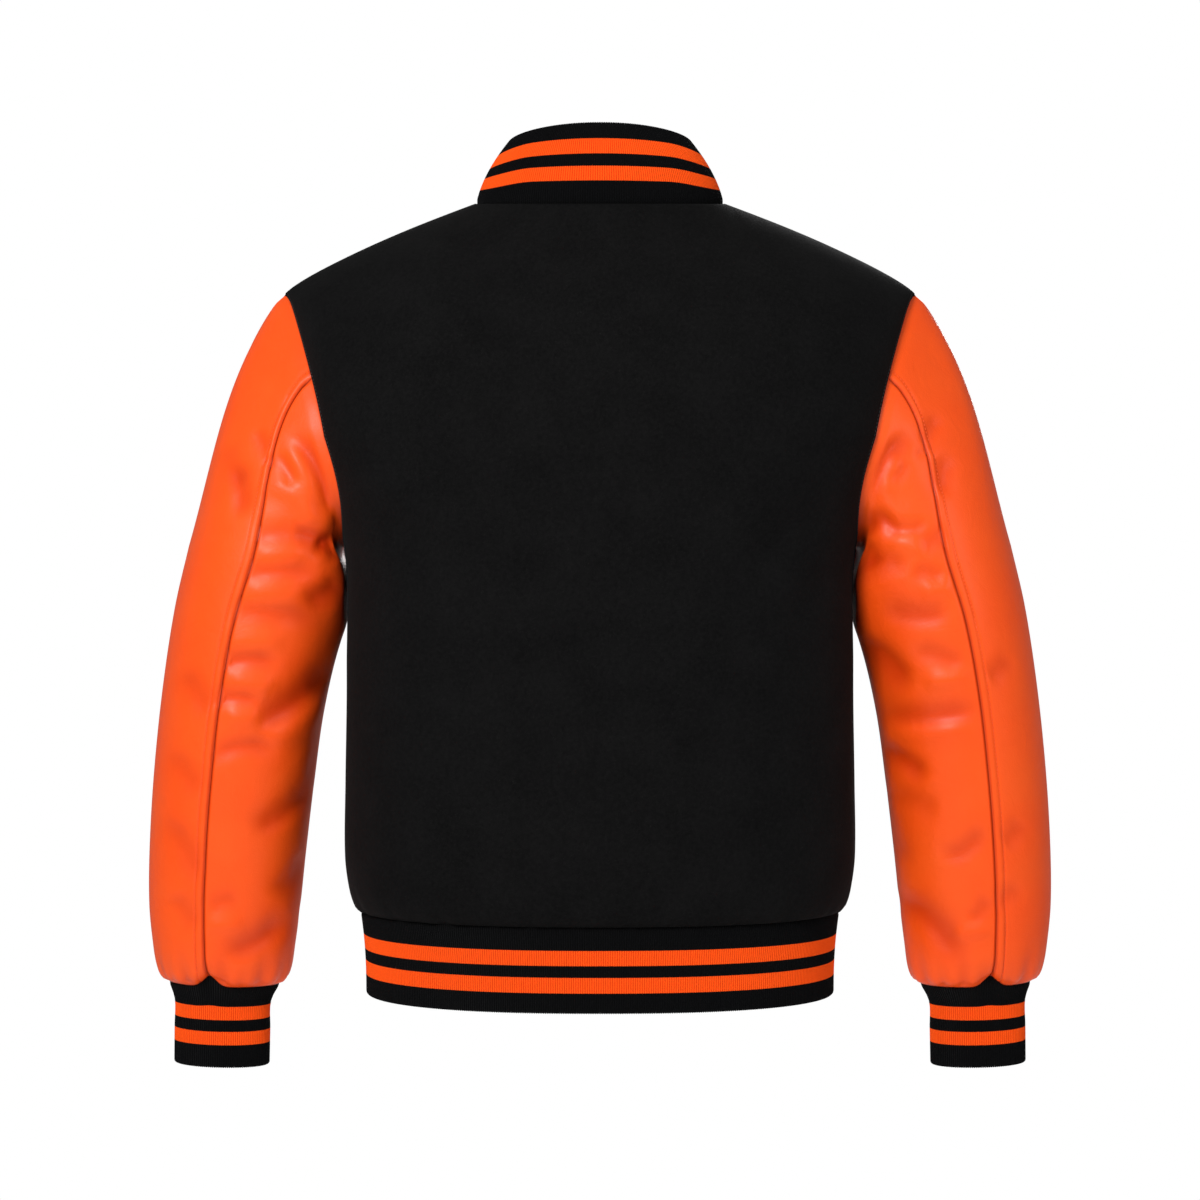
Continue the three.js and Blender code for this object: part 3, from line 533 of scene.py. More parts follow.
def finishShader(tree, shader, color, rough, bump, under=None, **fixed):
    # links color, roughness and a bump of height, strength and distance, and sets the fixed sockets
    feed(tree, shader.inputs["Base Color"], color)
    feed(tree, shader.inputs["Roughness"], rough)
    height, strength, distance = bump
    inputs = {"Height": height, "Strength": strength, "Distance": distance, "Normal": under}
    feed(tree, shader.inputs["Normal"], addNode(tree, "ShaderNodeBump", inputs).outputs[0])
    for label, value in fixed.items():
        shader.inputs[label.replace("_", " ")].default_value = value


wool = {
    "dark": (0.0022, 0.0022, 0.0023, 1),
    "light": (0.0062, 0.0061, 0.0062, 1),
    "lint": (0.026, 0.025, 0.024, 1),
    "seam": (0.0015, 0.0015, 0.0016, 1),
}


def woolMaterial():
    material, tree, shader, place = newMaterial("blackMelton")
    nap = useGroup(tree, "nap", Vector=place, Fibre_Size=1.0, Clouding=1.0)
    clouds = addMath(tree, "MULTIPLY_ADD", nap["Cloud"], 0.7, -0.98)
    mottle = addMath(tree, "MULTIPLY_ADD", nap["Height"], 2.2, clouds, clampIt=True)
    color = mixColor(tree, mottle, wool["dark"], wool["light"])
    color = mixColor(tree, addMath(tree, "MULTIPLY", nap["Lint"], 0.5), color, wool["lint"])
    color = mixColor(tree, seamMask(tree, 0.0024, 0.7), color, wool["seam"])
    rough = addMath(tree, "MULTIPLY_ADD", nap["Cloud"], -0.1, 0.98)
    finishShader(tree, shader, color, rough, (nap["Height"], 0.55, 0.0006),
                 Specular_IOR_Level=0.04, Sheen_Weight=0.012, Sheen_Roughness=0.5)
    return material


leather = {
    "base": (0.92, 0.078, 0.0035, 1),
    "creaseShade": (0.6, 0.033, 0.001, 1),
    "worn": (0.94, 0.1, 0.007, 1),
    "dark": (0.12, 0.006, 0.0006, 1),
    "seam": (0.28, 0.012, 0.001, 1),
}


def leatherMaterial():
    material, tree, shader, place = newMaterial("orangeLeather")
    grain = useGroup(tree, "grain", Vector=place, Cells=950.0, Unevenness=0.35)
    toneShare = addMath(tree, "MULTIPLY_ADD", grain["Tone"], 1.6, -0.45, clampIt=True)
    # painted shade: the colour is darkened in the troughs of the creases, following their depth
    creaseShadeShare = addMath(tree, "MULTIPLY", readValue(tree, "crease"), -0.17, clampIt=True)
    color = mixColor(tree, toneShare, leather["base"], leather["worn"])
    color = mixColor(tree, creaseShadeShare, color, leather["creaseShade"])
    color = mixColor(tree, addMath(tree, "MULTIPLY", readValue(tree, "shade"), 0.8), color, leather["dark"])
    color = mixColor(tree, seamMask(tree, 0.0022, 0.75), color, leather["seam"])
    rough = addMath(tree, "MULTIPLY_ADD", grain["Wrinkle"], 0.2, 0.36)
    fine = addNode(tree, "ShaderNodeBump", {"Height": grain["Height"], "Strength": 0.22, "Distance": 0.0003})
    finishShader(tree, shader, color, rough, (grain["Wrinkle"], 0.3, 0.0022), fine.outputs[0],
                 Specular_IOR_Level=0.22, Coat_Roughness=0.27, Coat_Weight=0.1)
    return material


knit = {
    "pitch": 1.8,
    "depth": 0.7,
    "black": (0.0017, 0.0018, 0.0021, 1),
    "lint": (0.012, 0.012, 0.013, 1),
    "orange": (0.99, 0.1, 0.008, 1),
    "ribShadeOrange": (0.7, 0.045, 0.002, 1),
    "seam": (0.001, 0.001, 0.001, 1),
}


def stripeMask(tree, up, stripes):
    # the stripes are at distances from the band's seam, in millimetres
    mask = None
    for low, high in stripes:
        middle, half = (low + high) / 2000, (high - low) / 2000
        away = addMath(tree, "ABSOLUTE", addMath(tree, "SUBTRACT", up, middle))
        inside = addMath(tree, "MULTIPLY", addMath(tree, "SUBTRACT", half, away), 4000.0, clampIt=True)
        mask = inside if mask is None else addMath(tree, "MAXIMUM", mask, inside)
    return mask


def knitMaterial(name, *stripes):
    material, tree, shader, place = newMaterial(name)
    along, up = readValue(tree, "along"), readValue(tree, "up")
    loops = useGroup(tree, "loops", Along=along, Up=up, Rib_Pitch=knit["pitch"] / 1000, Loop_Height=0.0013)
    fuzz = useGroup(tree, "nap", Vector=place, Fibre_Size=1.2, Clouding=1.0)
    ragged = addMath(tree, "MULTIPLY_ADD", fuzz["Height"], 0.0005, addMath(tree, "SUBTRACT", up, 0.00025))
    # painted shade: the orange is darkened in the valleys between ribs and where the loops sink
    low = addMath(tree, "MULTIPLY_ADD", loops["Height"], -0.16, 0.16)
    shade = addMath(tree, "MULTIPLY_ADD", loops["Valley"], 0.75, low, clampIt=True)
    orange = mixColor(tree, shade, knit["orange"], knit["ribShadeOrange"])
    black = mixColor(tree, fuzz["Lint"], knit["black"], knit["lint"])
    color = mixColor(tree, stripeMask(tree, ragged, stripes), black, orange)
    color = mixColor(tree, seamMask(tree, 0.002, 0.6), color, knit["seam"])
    rough = addMath(tree, "MULTIPLY_ADD", fuzz["Cloud"], -0.1, 0.95)
    height = addMath(tree, "MULTIPLY_ADD", fuzz["Height"], 0.3, loops["Height"])
    finishShader(tree, shader, color, rough, (height, 0.6, 0.0004),
                 Specular_IOR_Level=0.06, Sheen_Weight=0.02, Sheen_Roughness=0.4)
    return material


def threadMaterial(name, color, pale):
    material, tree, shader, place = newMaterial(name)
    fuzz = useGroup(tree, "nap", Vector=place, Fibre_Size=2.0, Clouding=1.0)
    rough = addMath(tree, "MULTIPLY_ADD", fuzz["Height"], 0.2, 0.5)
    finishShader(tree, shader, mixColor(tree, fuzz["Cloud"], color, pale), rough,
                 (fuzz["Height"], 0.4, 0.0002))
    return material


def enamelMaterial():
    material, tree, shader, place = newMaterial("snapEnamel")
    speck, rim = noise(tree, place, 420.0, 4.0), readValue(tree, "rim")
    color = mixColor(tree, speck, (0.006, 0.006, 0.007, 1), (0.014, 0.014, 0.015, 1))
    color = mixColor(tree, rim, color, (0.55, 0.54, 0.52, 1))
    rough = addMath(tree, "MULTIPLY_ADD", speck, 0.16, 0.16)
    finishShader(tree, shader, color, rough, (speck, 0.08, 0.0002))
    feed(tree, shader.inputs["Metallic"], rim)
    return material


materials = {
    "wool": woolMaterial(),
    "leather": leatherMaterial(),
    "collarKnit": knitMaterial("collarKnit", (17.3, 29.2), (39.0, 51.6)),
    "hemKnit": knitMaterial("hemKnit", (17.4, 29.6), (38.7, 51.2)),
    "cuffKnit": knitMaterial("cuffKnit", (17.2, 28.6), (38.0, 49.3)),
    "orangeThread": threadMaterial("orangeThread", (0.8, 0.07, 0.006, 1), (0.9, 0.11, 0.015, 1)),
    "blackThread": threadMaterial("blackThread", (0.004, 0.004, 0.004, 1), (0.012, 0.012, 0.012, 1)),
    "enamel": enamelMaterial(),
}
print("materials ready:", len(materials))


# Geometry Nodes

def newTree(name, inputs):
    # an input given as a word is a socket of that kind, the others are numbers
    tree = bpy.data.node_groups.new(name, "GeometryNodeTree")
    for label, value in {"Geometry": "Geometry", **inputs, "Material": "Material"}.items():
        kind = value if isinstance(value, str) else "Float"
        socket = tree.interface.new_socket(label, in_out="INPUT", socket_type="NodeSocket" + kind)
        feed(tree, socket, value if kind == "Float" else None)
    tree.interface.new_socket("Geometry", in_out="OUTPUT", socket_type="NodeSocketGeometry")
    return tree, tree.nodes.new("NodeGroupInput").outputs, tree.nodes.new("NodeGroupOutput").inputs


def endTree(tree, start, end, geometry):
    realize = addNode(tree, "GeometryNodeRealizeInstances", {0: geometry}).outputs[0]
    painted = addNode(tree, "GeometryNodeSetMaterial", {"Geometry": realize, "Material": start["Material"]})
    tree.links.new(painted.outputs[0], end[0])
    return tree


def readPoint(tree, name, kind):
    return addNode(tree, "GeometryNodeInputNamedAttribute", {"Name": name}, data_type=kind).outputs[0]


def ribTree():
    # raises rounded ribs along the "lift" of each point, at even steps of "along"
    tree, start, end = newTree("raisedRibs", {"Rib Pitch": 0.0018, "Rib Depth": 0.0007})
    along, lift = readPoint(tree, "along", "FLOAT"), readPoint(tree, "lift", "FLOAT_VECTOR")
    share = addMath(tree, "FRACT", addMath(tree, "DIVIDE", along, start["Rib Pitch"]))
    edge = addMath(tree, "ABSOLUTE", addMath(tree, "MULTIPLY_ADD", share, 2.0, -1.0))
    rounded = addMath(tree, "SUBTRACT", 1.0, addMath(tree, "POWER", edge, 2.2))
    height = addMath(tree, "MULTIPLY", rounded, start["Rib Depth"])
    offset = addNode(tree, "ShaderNodeVectorMath", {0: lift, "Scale": height}, operation="SCALE").outputs[0]
    moved = addNode(tree, "GeometryNodeSetPosition", {"Geometry": start["Geometry"], "Offset": offset})
    return endTree(tree, start, end, moved.outputs[0])


def stitchTree():
    # small stitches laid end to end along a line, each turned to the cloth under it
    tree, start, end = newTree("stitchRow", {"Pitch": 0.0032, "Length": 0.0026, "Thickness": 0.0007})
    curve = addNode(tree, "GeometryNodeMeshToCurve", {0: start["Geometry"]}).outputs[0]
    even = addNode(tree, "GeometryNodeResampleCurve", {"Curve": curve, "Length": start["Pitch"]},
                   mode="LENGTH")
    lift = readPoint(tree, "lift", "FLOAT_VECTOR")
    tangent = tree.nodes.new("GeometryNodeInputTangent").outputs[0]
    turn = addNode(tree, "FunctionNodeAxesToRotation", {0: lift, 1: tangent}, primary_axis="Z",
                   secondary_axis="X")
    bead = addNode(tree, "GeometryNodeMeshUVSphere", {"Segments": 6, "Rings": 4, "Radius": 0.5}).outputs[0]
    size = addNode(tree, "ShaderNodeCombineXYZ",
                   {0: start["Length"], 1: start["Thickness"], 2: start["Thickness"]})
    placed = addNode(tree, "GeometryNodeInstanceOnPoints", {
        "Points": even.outputs[0], "Instance": bead, "Rotation": turn.outputs[0], "Scale": size.outputs[0]})
    return endTree(tree, start, end, placed.outputs[0])


def capTree():
    # one snap cap on each point, facing along its "lift"
    tree, start, end = newTree("snapsOnPoints", {"Cap": "Object"})
    cap = addNode(tree, "GeometryNodeObjectInfo", {"Object": start["Cap"]}).outputs["Geometry"]
    lift = readPoint(tree, "lift", "FLOAT_VECTOR")
    turn = addNode(tree, "FunctionNodeAlignRotationToVector", {"Vector": lift}, axis="Z").outputs[0]
    placed = addNode(tree, "GeometryNodeInstanceOnPoints", {
        "Points": start["Geometry"], "Instance": cap, "Rotation": turn})
    return endTree(tree, start, end, placed.outputs[0])


trees = {"ribs": ribTree(), "stitches": stitchTree(), "caps": capTree()}


def applyTree(obj, key, values, name):
    modifier = obj.modifiers.new(key, "NODES")
    modifier.node_group = trees[key]
    for item in trees[key].interface.items_tree:
        if item.in_out == "INPUT" and item.name in values:
            modifier[item.identifier] = values[item.name]
    graph = bpy.context.evaluated_depsgraph_get()
    mesh = bpy.data.meshes.new_from_object(obj.evaluated_get(graph))
    bpy.data.objects.remove(obj)
    made = bpy.data.objects.new(name, mesh)
    mesh.name = name
    bpy.context.scene.collection.objects.link(made)
    return made


# Panels of the body

panel = {
    "rowStep": 4.0,
    "columnSteps": 7,
    "edgeColumns": (0.025, 0.05, 0.085, 0.13, 0.2, 0.3),
    "tuckDepth": 1.15,
    "tuckWidth": 1.7,
    "edgeStitch": 5.0,
    "stitchGroove": 0.35,
}

# soft drags in the wool, each a row of creaseColumns without its skew
creaseColumns = "x1 z1 x2 z2 bow width rise skew"
woolDrags = {
    "back": [
        (196, -262, 118, -318, 10, 15, -2.6), (203, -232, 140, -262, 7, 12, 1.6),
        (-194, -256, -104, -330, -12, 17, -2.8), (-200, -300, -150, -356, -7, 13, -1.7),
        (190, -372, 96, -402, 8, 20, -1.6), (-182, -424, -70, -446, -9, 24, -1.8),
        (-28, -60, 36, -66, -9, 12, -1.2), (92, -66, 150, -142, 10, 18, -1.5),
        (-88, -62, -138, -128, -9, 16, -1.3), (60, -500, 74, -566, 4, 13, -1.5),
        (-132, -508, -118, -570, 4, 12, -1.6),
    ],
    "front": [
        (188, -262, 96, -322, 10, 16, -3.0), (176, -300, 120, -344, 6, 12, -1.8),
        (-190, -256, -110, -312, -9, 14, -2.6), (-176, -338, -88, -372, -8, 18, -1.8),
        (86, -96, 140, -170, 12, 18, -2.0), (-84, -100, -130, -182, -10, 16, -2.2),
        (70, -498, 58, -568, 5, 13, -1.7), (-96, -492, -104, -566, -5, 14, -1.8),
    ],
}

# puckers where the body is gathered onto the hem band: place round the body in degrees, depth, width, height
hemPuckers = {
    "back": [(-82, 1.1, 5, 20), (-69, 0.7, 4, 14), (-54, 1.3, 6, 26), (-41, 1.0, 4, 18), (-25, 0.6, 5, 15),
             (-9, 0.8, 4, 16), (8, 0.5, 5, 13), (22, 0.9, 5, 20), (33, 0.6, 4, 13), (46, 1.5, 6, 30),
             (60, 0.8, 4, 17), (74, 1.1, 5, 22), (84, 0.8, 4, 15)],
    "front": [(-80, 1.0, 5, 19), (-64, 1.2, 5, 24), (-47, 0.7, 4, 15), (-33, 1.1, 6, 22), (-18, 0.6, 4, 14),
              (19, 0.8, 4, 16), (31, 1.2, 5, 25), (49, 0.7, 4, 14), (63, 1.1, 6, 21), (81, 0.9, 5, 18)],
}


def dragRise(faces, points, normals):
    # sum of the creases at points, each along a bowed line in the plane of the photograph
    total = np.zeros(points.shape[:-1])
    for face, row in ((face, row) for face, rows in faces.items() for row in table(creaseColumns, rows)):
        a = np.array([row["x1"], row["z1"]], float)
        b = np.array([row["x2"], row["z2"]], float)
        flat = points[..., [0, 2]]
        line = b - a
        size = np.linalg.norm(line)
        along = ((flat - a) @ line) / size**2
        side = np.array([line[1], -line[0]]) / size
        off = (flat - a) @ side - row["bow"] * 4 * along * (1 - along)
        skew = row.get("skew", 0.0)
        width = row["width"] * np.where(off > 0, 1 + skew, 1 - skew)
        taper = smooth(along, -0.12, 0.28) * (1 - smooth(along, 0.72, 1.12))
        facingIt = smooth(normals[..., 1] * facing[face], -0.1, 0.35)
        total += row["rise"] * taper * facingIt * np.exp(-((off / width) ** 2))
    return total


def panelAngles(side, heights, columns):
    # the angle of each of the part's own columns in each row
    edge = edgeAngle(side, heights)
    limit = np.minimum(edge,
                       mix(90, body["gatherAngle"], smooth(heights, body["gatherHeight"], armholeRows[0])))
    result = []
    for column in columns:
        place, hand = abs(column), math.copysign(1, column)
        if place == 0.5:
            angle = solve(np.zeros(len(heights)), np.full(len(heights), body["neckAngle"]),
                          lambda a: bodyPoint(side, a, heights)[..., 0] < body["overlap"])
        elif place <= 5:
            angle = np.full(len(heights), 9.0 * place)
        elif place == 10:
            angle = edge
        else:
            angle = mix(body["neckAngle"], limit, (place - 5) / 5)
        result.append(hand * angle)
    return np.stack(result, axis=1)


def evenedAtTip(side, points, normals):
    # the panel narrows to a point at the shoulder's tip, so its normals are evened out there
    tipX, tipZ = body["shoulderTip"]
    hand = np.sign(points[..., 0])
    tilt = math.radians(body["tipTilt"])
    away = np.linalg.norm(points - stack(hand * tipX, 0, tipZ - body["tipDrop"]), axis=-1)
    steady = unit(stack(hand * math.sin(tilt), 0.3 * facing[side], math.cos(tilt)))
    return unit(mix(steady, normals, smooth(away, 5, 26)[..., None]))


def panelGrid(side, columns, lapped):
    heights = refine(panelRows, panel["rowStep"], [-387.6, -387.1, -386.4, -385.2, 188.6, 189.3])
    angles = panelAngles(side, heights, columns)
    spots = [np.linspace(i, i + 1, panel["columnSteps"], endpoint=False) for i in range(len(columns) - 1)]
    last = len(columns) - 1
    extra = [e for d in panel["edgeColumns"] for e in (d, last - d)]
    spots = np.unique(np.round(np.concatenate([*spots, [last], extra]), 5))
    fine = np.stack([np.interp(spots, np.arange(last + 1), row) for row in angles])
    tall = heights[:, None] * np.ones_like(fine)
    outer = bodyPoint(side, fine, tall)
    normal = evenedAtTip(side, outer, bodyNormal(side, fine, tall))
    if lapped:
        inset = (cloth["woolWall"] + cloth["layerGap"]) * smooth(outer[..., 0],
            -body["overlap"] - body["overlapFade"], -body["overlap"] - 2)
        outer = outer - normal * inset[..., None]
    return heights, fine, outer, normal


def seamDistances(outer):
    # the distance of each point to each edge of its panel
    across, up = runLength(outer, 1), runLength(outer, 0)
    result = {"low": up, "high": up[-1:] - up}
    result["start"] = across
    result["end"] = across[:, -1:] - across
    return result


def setInPanel(side, heights, angles, outer, normal, columns):
    # draws the edges of a panel back from the middle of each seam
    inner = outer - normal * cloth["woolWall"]
    for edge, column in ((0, columns[0]), (-1, columns[-1])):
        if abs(column) != 10:
            continue
        hand = math.copysign(1, column)
        open_ = heights >= armholeRows[0]
        index = np.interp(heights[open_], armholeRows, np.arange(13))
        s = 12 - index if side == "back" else 12 + index
        away = armholeFrame(hand, s)[2]
        for grid in (outer, inner):
            grid[open_, edge] -= away * cloth["halfSeam"]
            onSeam = np.abs(angles[:, edge]) >= 90 - 1e-6
            y = facing[side] * np.maximum(cloth["halfSeam"], facing[side] * grid[:, edge, 1])
            grid[:, edge, 1] = np.where(onSeam, y, grid[:, edge, 1])
    top = heights >= body["yokeRise"]
    onNeck = np.abs(angles[-1]) <= body["neckAngle"] + 1e-6
    onShoulder = np.abs(angles[-1]) >= body["neckAngle"] - 1e-6
    for grid in (outer, inner):
        grid[-1, onShoulder, 1] = facing[side] * np.maximum(cloth["halfSeam"],
            facing[side] * grid[-1, onShoulder, 1])
        grid[-1, onNeck] -= neckAway(side, angles[-1, onNeck]) * cloth["halfSeam"]
        grid[0, :, 2] = body["hemSeam"] + cloth["halfSeam"]
    return outer, inner


def bodyPanel(name, side, columns, lapped):
    heights, angles, outer, normal = panelGrid(side, columns, lapped)
    distance = seamDistances(outer)
    rise = dragRise({side: woolDrags[side]}, outer, normal)
    fade = np.minimum(smooth(distance["low"], 4, 40), smooth(distance["high"], 4, 40))
    for key, column in (("start", columns[0]), ("end", columns[-1])):
        fade = np.minimum(fade, smooth(distance[key], 3, 26))
    rise = rise * fade
    for place, depth, width, tall in hemPuckers[side]:
        arc = np.radians(angles - place) * 175
        fall = np.exp(-((distance["low"] / tall) ** 2)) * smooth(distance["low"], 0, 3)
        rise -= depth * fall * np.exp(-((arc / width) ** 2))
        rise += 0.5 * depth * fall * np.exp(-(((np.abs(arc) - 2 * width) / width) ** 2))
    nearest = np.full(outer.shape[:2], 1e3)
    for key in ("start", "end", "low", "high"):
        nearest = np.minimum(nearest, distance[key])
        rise -= panel["tuckDepth"] * np.exp(-((distance[key] / panel["tuckWidth"]) ** 2))
    for key, column in (("start", columns[0]), ("end", columns[-1])):
        sewn = (heights >= armholeRows[0])[:, None] if abs(column) == 10 else True
        groove = np.exp(-(((distance[key] - panel["edgeStitch"]) / 1.3) ** 2))
        rise -= np.where(sewn, panel["stitchGroove"] * groove, 0)
    outer, inner = setInPanel(side, heights, angles, outer, normal, columns)
    shaped = outer + normal * rise[..., None]
    inner = inner + normal * np.maximum(rise, -cloth["woolWall"])[..., None] * smooth(nearest, 3, 9)[...,
        None]
    obj = clothMesh(name, shaped, inner, {"seam": nearest / 1000, "crease": rise})
    finishMesh(obj, materials["wool"])
    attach(obj, "root")
    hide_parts(name)
    return {"heights": heights, "outer": shaped, "normal": normal, "distance": distance, "columns": columns}


backColumns = list(range(-10, 11))
leftColumns = [-0.5, 0, 0.5] + list(range(1, 11))
rightColumns = [-c for c in reversed(leftColumns)]
print("body panels")
panels = {
    "back": bodyPanel("back", "back", backColumns, False),
    "left_front": bodyPanel("left_front", "front", leftColumns, False),
    "right_front": bodyPanel("right_front", "front", rightColumns, True),
}

# Sleeves

sleeveCuts = table("z x y halfWidth halfDepth lean", [
    (-306.0, 270.2, 0.0, 74.2, 74.0, 16.0), (-351.0, 284.9, -2.0, 70.2, 72.5, 13.0),
    (-411.0, 297.2, -6.0, 67.7, 70.0, 10.0), (-476.0, 305.7, -10.0, 66.7, 66.5, 7.0),
    (-536.0, 311.6, -14.0, 65.2, 62.0, 4.0), (-586.0, 314.8, -17.0, 63.0, 57.5, 1.5),
    (-621.0, 315.5, -19.0, 59.2, 54.0, 0.0), (-637.0, 315.5, -20.0, 56.5, 50.5, 0.0),
    (-646.5, 315.5, -20.0, 52.5, 45.5, 0.0), (-651.0, 315.5, -20.0, 46.5, 38.5, 0.0),
])

sleeve = {
    "seamAt": (5, 15),
    "seamAngle": (81.0, 228.0),
    "headStep": 0.022,
    "tubeStep": 3.0,
    "clearance": 1.5,
    "softness": 2.0,
    "leave": (0.5, 0.7, 0.54, 0.95),
    "tuckDepth": 1.5,
    "headTuck": 2.2,
    "headTuckWidth": 6.0,
    "shadeAcross": (206, 222),
    "shadeFrom": (236, 272),
    "shadeTo": (330, 420),
    "tuckWidth": 1.5,
    "bandWidth": 7.8,
    "bandRise": 0.9,
    "stitchGroove": 0.55,
    "notch": 9.0,
}

# places round the arm in degrees, depth, width in degrees and height of the puckers above the cuff
cuffPuckers = {
    1: [(8, 1.2, 4, 16), (27, 1.8, 5, 24), (43, 1.0, 4, 14), (60, 1.9, 5, 26), (95, 2.3, 6, 30),
        (112, 1.2, 4, 16),
        (131, 2.0, 6, 25), (156, 1.4, 5, 18), (181, 2.0, 6, 26), (207, 1.3, 5, 18), (240, 1.9, 6, 27),
        (268, 1.2, 4, 15), (291, 2.0, 6, 24), (322, 1.4, 5, 18), (344, 1.7, 5, 22)],
    -1: [(4, 1.6, 5, 20), (24, 1.1, 4, 15), (48, 2.1, 6, 28), (64, 1.2, 4, 16), (92, 1.8, 5, 24),
         (107, 2.2, 6, 31),
         (128, 1.2, 5, 17), (149, 1.9, 6, 25), (176, 1.3, 5, 16), (203, 2.0, 6, 26), (236, 1.4, 5, 19),
         (262, 1.9, 6, 25), (289, 1.2, 4, 16), (313, 2.0, 6, 24), (338, 1.3, 5, 17)],
}

